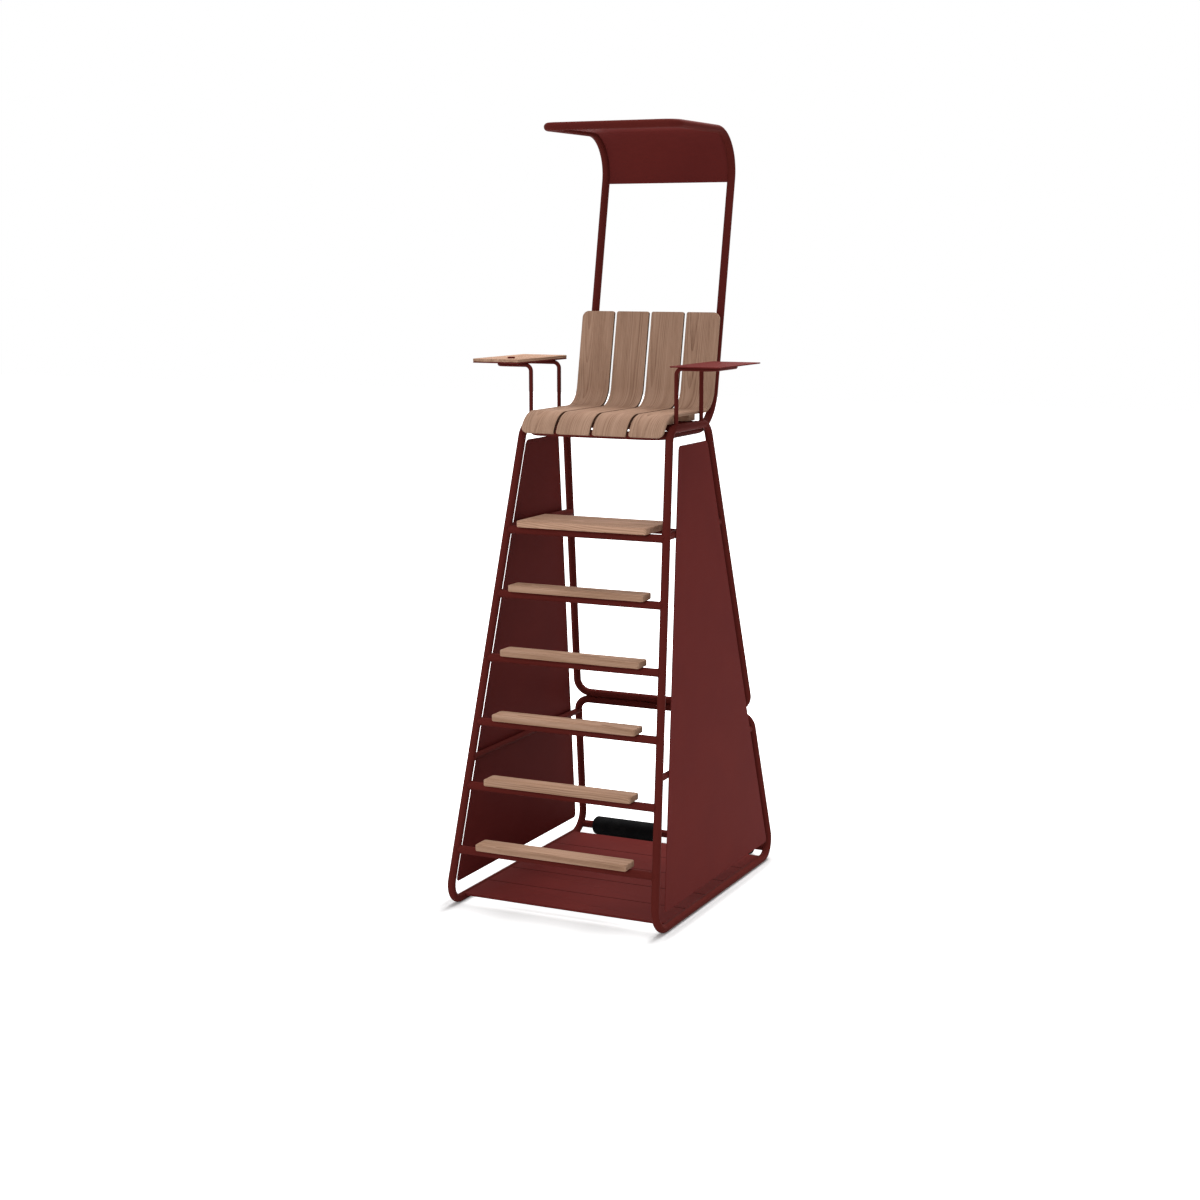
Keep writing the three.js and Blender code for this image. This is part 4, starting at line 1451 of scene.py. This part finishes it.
@dataclass
class Roller:
    """The axle between the rear feet and the rubber sleeves that turn on it."""

    tower: Tower
    axle: float = 35.0
    axle_stop: float = 8.0  # how far inside a leg's centre line the axle ends
    radius: float = 44.0
    end_radius: float = 20.0
    bore: float = 36.2
    sides: int = 72

    def make_axle(self) -> None:
        """The axle, welded between the rear legs."""
        leg = self.tower.leg(Side.RIGHT, height_of("roller_axle"))
        ends = across_at("roller_axle", leg.x - mm(self.axle_stop))
        finish_piece(bent_tube("roller_bar", ends, [], self.axle), Finish.TUBE, "roller_axle")

    def make_sleeves(self) -> None:
        """Each sleeve: a cylinder with deeply rounded ends, bored for the axle."""
        for side in Side:
            node = f"roller_sleeve_{side.label}"
            low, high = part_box(node)
            sleeve = fresh(
                f"rubber_sleeve_{side.label}",
                bpy.ops.mesh.primitive_cylinder_add,
                vertices=self.sides,
                radius=mm(self.radius),
                depth=high.x - low.x,
                location=(low + high) / 2,
                rotation=(0.0, math.pi / 2, 0.0),
            )
            settle(sleeve)
            start_shaping(sleeve)
            pick(Kind.FACES, lambda face: abs(face.normal.x) > FACING)
            ease(self.end_radius, segments=10)
            pick(Kind.FACES, lambda face: abs(face.normal.x) > FACING)
            rim = mm(self.radius - self.end_radius - self.bore / 2)
            bpy.ops.mesh.inset(thickness=rim, use_even_offset=True)
            bpy.ops.mesh.bridge_edge_loops()
            end_shaping()
            smooth(sleeve)
            finish_piece(sleeve, Finish.RUBBER, node, body=f"roller_{side.label}")

    def build(self) -> None:
        """Makes the axle and its sleeves."""
        self.make_axle()
        self.make_sleeves()


@dataclass(frozen=True)
class Lamp:
    """One soft square light."""

    name: str
    place: tuple[float, float, float]  # metres
    target: tuple[float, float, float]
    size: float
    power: float  # watts

    def build(self) -> None:
        """Hangs the lamp and turns it to its target."""
        aim = (Vector(self.target) - Vector(self.place)).to_track_quat("-Z", "Y").to_euler()
        bpy.ops.object.light_add(type="AREA", location=self.place, rotation=aim)
        light = bpy.context.object
        light.name = light.data.name = self.name
        light.data.shape = "SQUARE"
        light.data.size = self.size
        light.data.energy = self.power


@dataclass
class Studio:
    """A pale floor with painted light shaped round the chair, soft light and the camera at the photograph's
    viewing angle.
    """

    azimuth: float = 25.539  # degrees round from the front towards the right side
    dip: float = 9.489  # degrees that the camera looks down
    camera_place: tuple[float, float, float] = (3745.6, -8008.0, 2751.1)
    lens: float = 61.45
    sensor: float = 36.0
    far_clip: float = 200.0  # metres
    floor_size: float = 60.0
    floor_colour: str = "#e4e4e4"
    near_lift: float = 0.07  # glow that the camera sees round the feet and far from them
    far_lift: float = 0.75
    under_lift: float = 0.9  # painted light under the deck, which washes out the chair's shadow there
    rail_lift: float = 0.19  # painted light between the bottom rails, close to them
    under_sides: tuple[float, float] = (0.44, 0.485)  # metres sideways where it fades out
    under_ends: tuple[float, float] = (0.50, 0.62)  # and forwards or back
    near_rails: tuple[float, float] = (0.15, 0.42)
    beyond_sides: tuple[float, float] = (0.515, 0.60)  # where the glow away from the chair grows
    beyond_ends: tuple[float, float] = (0.65, 0.92)
    white: tuple[float, float, float, float] = (1.0, 1.0, 1.0, 1.0)
    sky: float = 0.5
    lamps: tuple[Lamp, ...] = (
        Lamp("overhead", (0.0, 0.0, 9.0), (0.0, 0.0, 1.0), 6.0, 315.0),
        Lamp("overhead_rear", (0.0, 5.0, 8.0), (0.0, 0.0, 1.2), 4.0, 680.0),
        Lamp("front", (0.5, -9.0, 3.5), (0.0, 0.0, 1.4), 4.0, 190.0),
        Lamp("left", (-8.0, -3.0, 3.5), (0.0, 0.0, 1.4), 4.0, 60.0),
    )

    def make_camera(self) -> None:
        """Sets up the camera; its place and lens come from the chair's own vanishing lines."""
        turn = (math.radians(90 - self.dip), 0.0, math.radians(self.azimuth))
        bpy.ops.object.camera_add(location=point(*self.camera_place), rotation=turn)
        camera = bpy.context.object
        camera.data.lens = self.lens
        camera.data.sensor_width = self.sensor
        camera.data.clip_end = self.far_clip
        bpy.context.scene.camera = camera

    def seen(self, tree: NodeTree) -> Node:
        """Tells the rays that look at a place from those that light it.

        Args:
            tree: The node tree of a material or of the world.

        Returns:
            A node that gives 1 to the camera, to gloss and to glass, and 0 to the rest.
        """
        rays = add_node(tree, "LightPath").outputs
        seen = rays["Is Camera Ray"]
        for other in ("Is Glossy Ray", "Is Transmission Ray"):
            seen = add_node(tree, "Math", {0: seen, 1: rays[other]}, operation="ADD", use_clamp=True)
        return seen

    def floor_glow(self, tree: NodeTree) -> Node:
        """Works out how much the floor glows at each place, by the chair's footprint: painted light that
        washes out the chair's shadow under the deck and keeps it round the feet and in bands in front and
        behind.

        Args:
            tree: The floor's node tree.

        Returns:
            The node that gives the glow's strength.
        """
        place = add_node(tree, "TexCoord").outputs["Object"]
        parts = add_node(tree, "SeparateXYZ", {"Vector": place}).outputs
        sideways, forwards = (add_node(tree, "Math", {0: parts[i]}, operation="ABSOLUTE") for i in "XY")
        glow: Node | float = 0.0  # soft steps that are added or multiplied one after the other
        for way, (start, end), (before, after), operation in (
            (forwards, self.under_ends, (self.under_lift, 0.0), "ADD"),
            (sideways, self.near_rails, (0.0, self.rail_lift), "ADD"),
            (sideways, self.under_sides, (1.0, 0.0), "MULTIPLY"),
            (sideways, self.beyond_sides, (0.0, self.far_lift), "ADD"),
            (forwards, self.beyond_ends, (self.near_lift, self.far_lift), "ADD"),
        ):
            step = {"From Min": start, "From Max": end, "To Min": before, "To Max": after}
            share = add_node(tree, "MapRange", {"Value": way, **step}, interpolation_type="SMOOTHSTEP")
            glow = add_node(tree, "Math", {0: glow, 1: share}, operation=operation)
        return add_node(tree, "Math", {0: glow, 1: self.seen(tree)}, operation="MULTIPLY")

    def make_floor(self) -> None:
        """A pale matt floor that shows white to the camera, with painted light that hides the chair's
        shadow under the deck and keeps it elsewhere near the chair.
        """
        floor = fresh("studio_floor", bpy.ops.mesh.primitive_plane_add, size=self.floor_size)
        material = bpy.data.materials.new("pale studio paper")
        tree = empty_tree(material)
        paper = add_node(tree, "BsdfDiffuse", {"Color": linear(self.floor_colour)})
        glow = add_node(tree, "Emission", {"Color": self.white, "Strength": self.floor_glow(tree)})
        both = add_node(tree, "AddShader", {0: paper, 1: glow})
        add_node(tree, "OutputMaterial", {"Surface": both})
        floor.data.materials.append(material)

    def make_sky(self) -> None:
        """A soft even dome for light, and plain white where it is seen."""
        world = bpy.data.worlds.new("studio")
        tree = empty_tree(world)
        dome = add_node(tree, "Background", {"Color": self.white, "Strength": self.sky})
        backdrop = add_node(tree, "Background", {"Color": self.white, "Strength": 1.0})
        mixed = add_node(tree, "MixShader", {0: self.seen(tree), 1: dome, 2: backdrop})
        add_node(tree, "OutputWorld", {"Surface": mixed})
        bpy.context.scene.world = world

    def build(self) -> None:
        """Sets the stage."""
        bpy.context.scene.view_settings.view_transform = "Standard"
        self.make_camera()
        self.make_floor()
        self.make_sky()
        for lamp in self.lamps:
            lamp.build()


def main() -> None:
    """Builds the chair and its stage."""
    logging.basicConfig(level=logging.INFO, format="%(message)s")
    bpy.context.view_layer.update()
    tower = Tower()
    Studio().build()
    tower.build()
    Steps().build()
    SidePanels(tower).build()
    Deck().build()
    Seat(tower).build()
    Canopy().build()
    Trays(tower).build()
    Roller(tower).build()


if __name__ == "__main__":
    main()
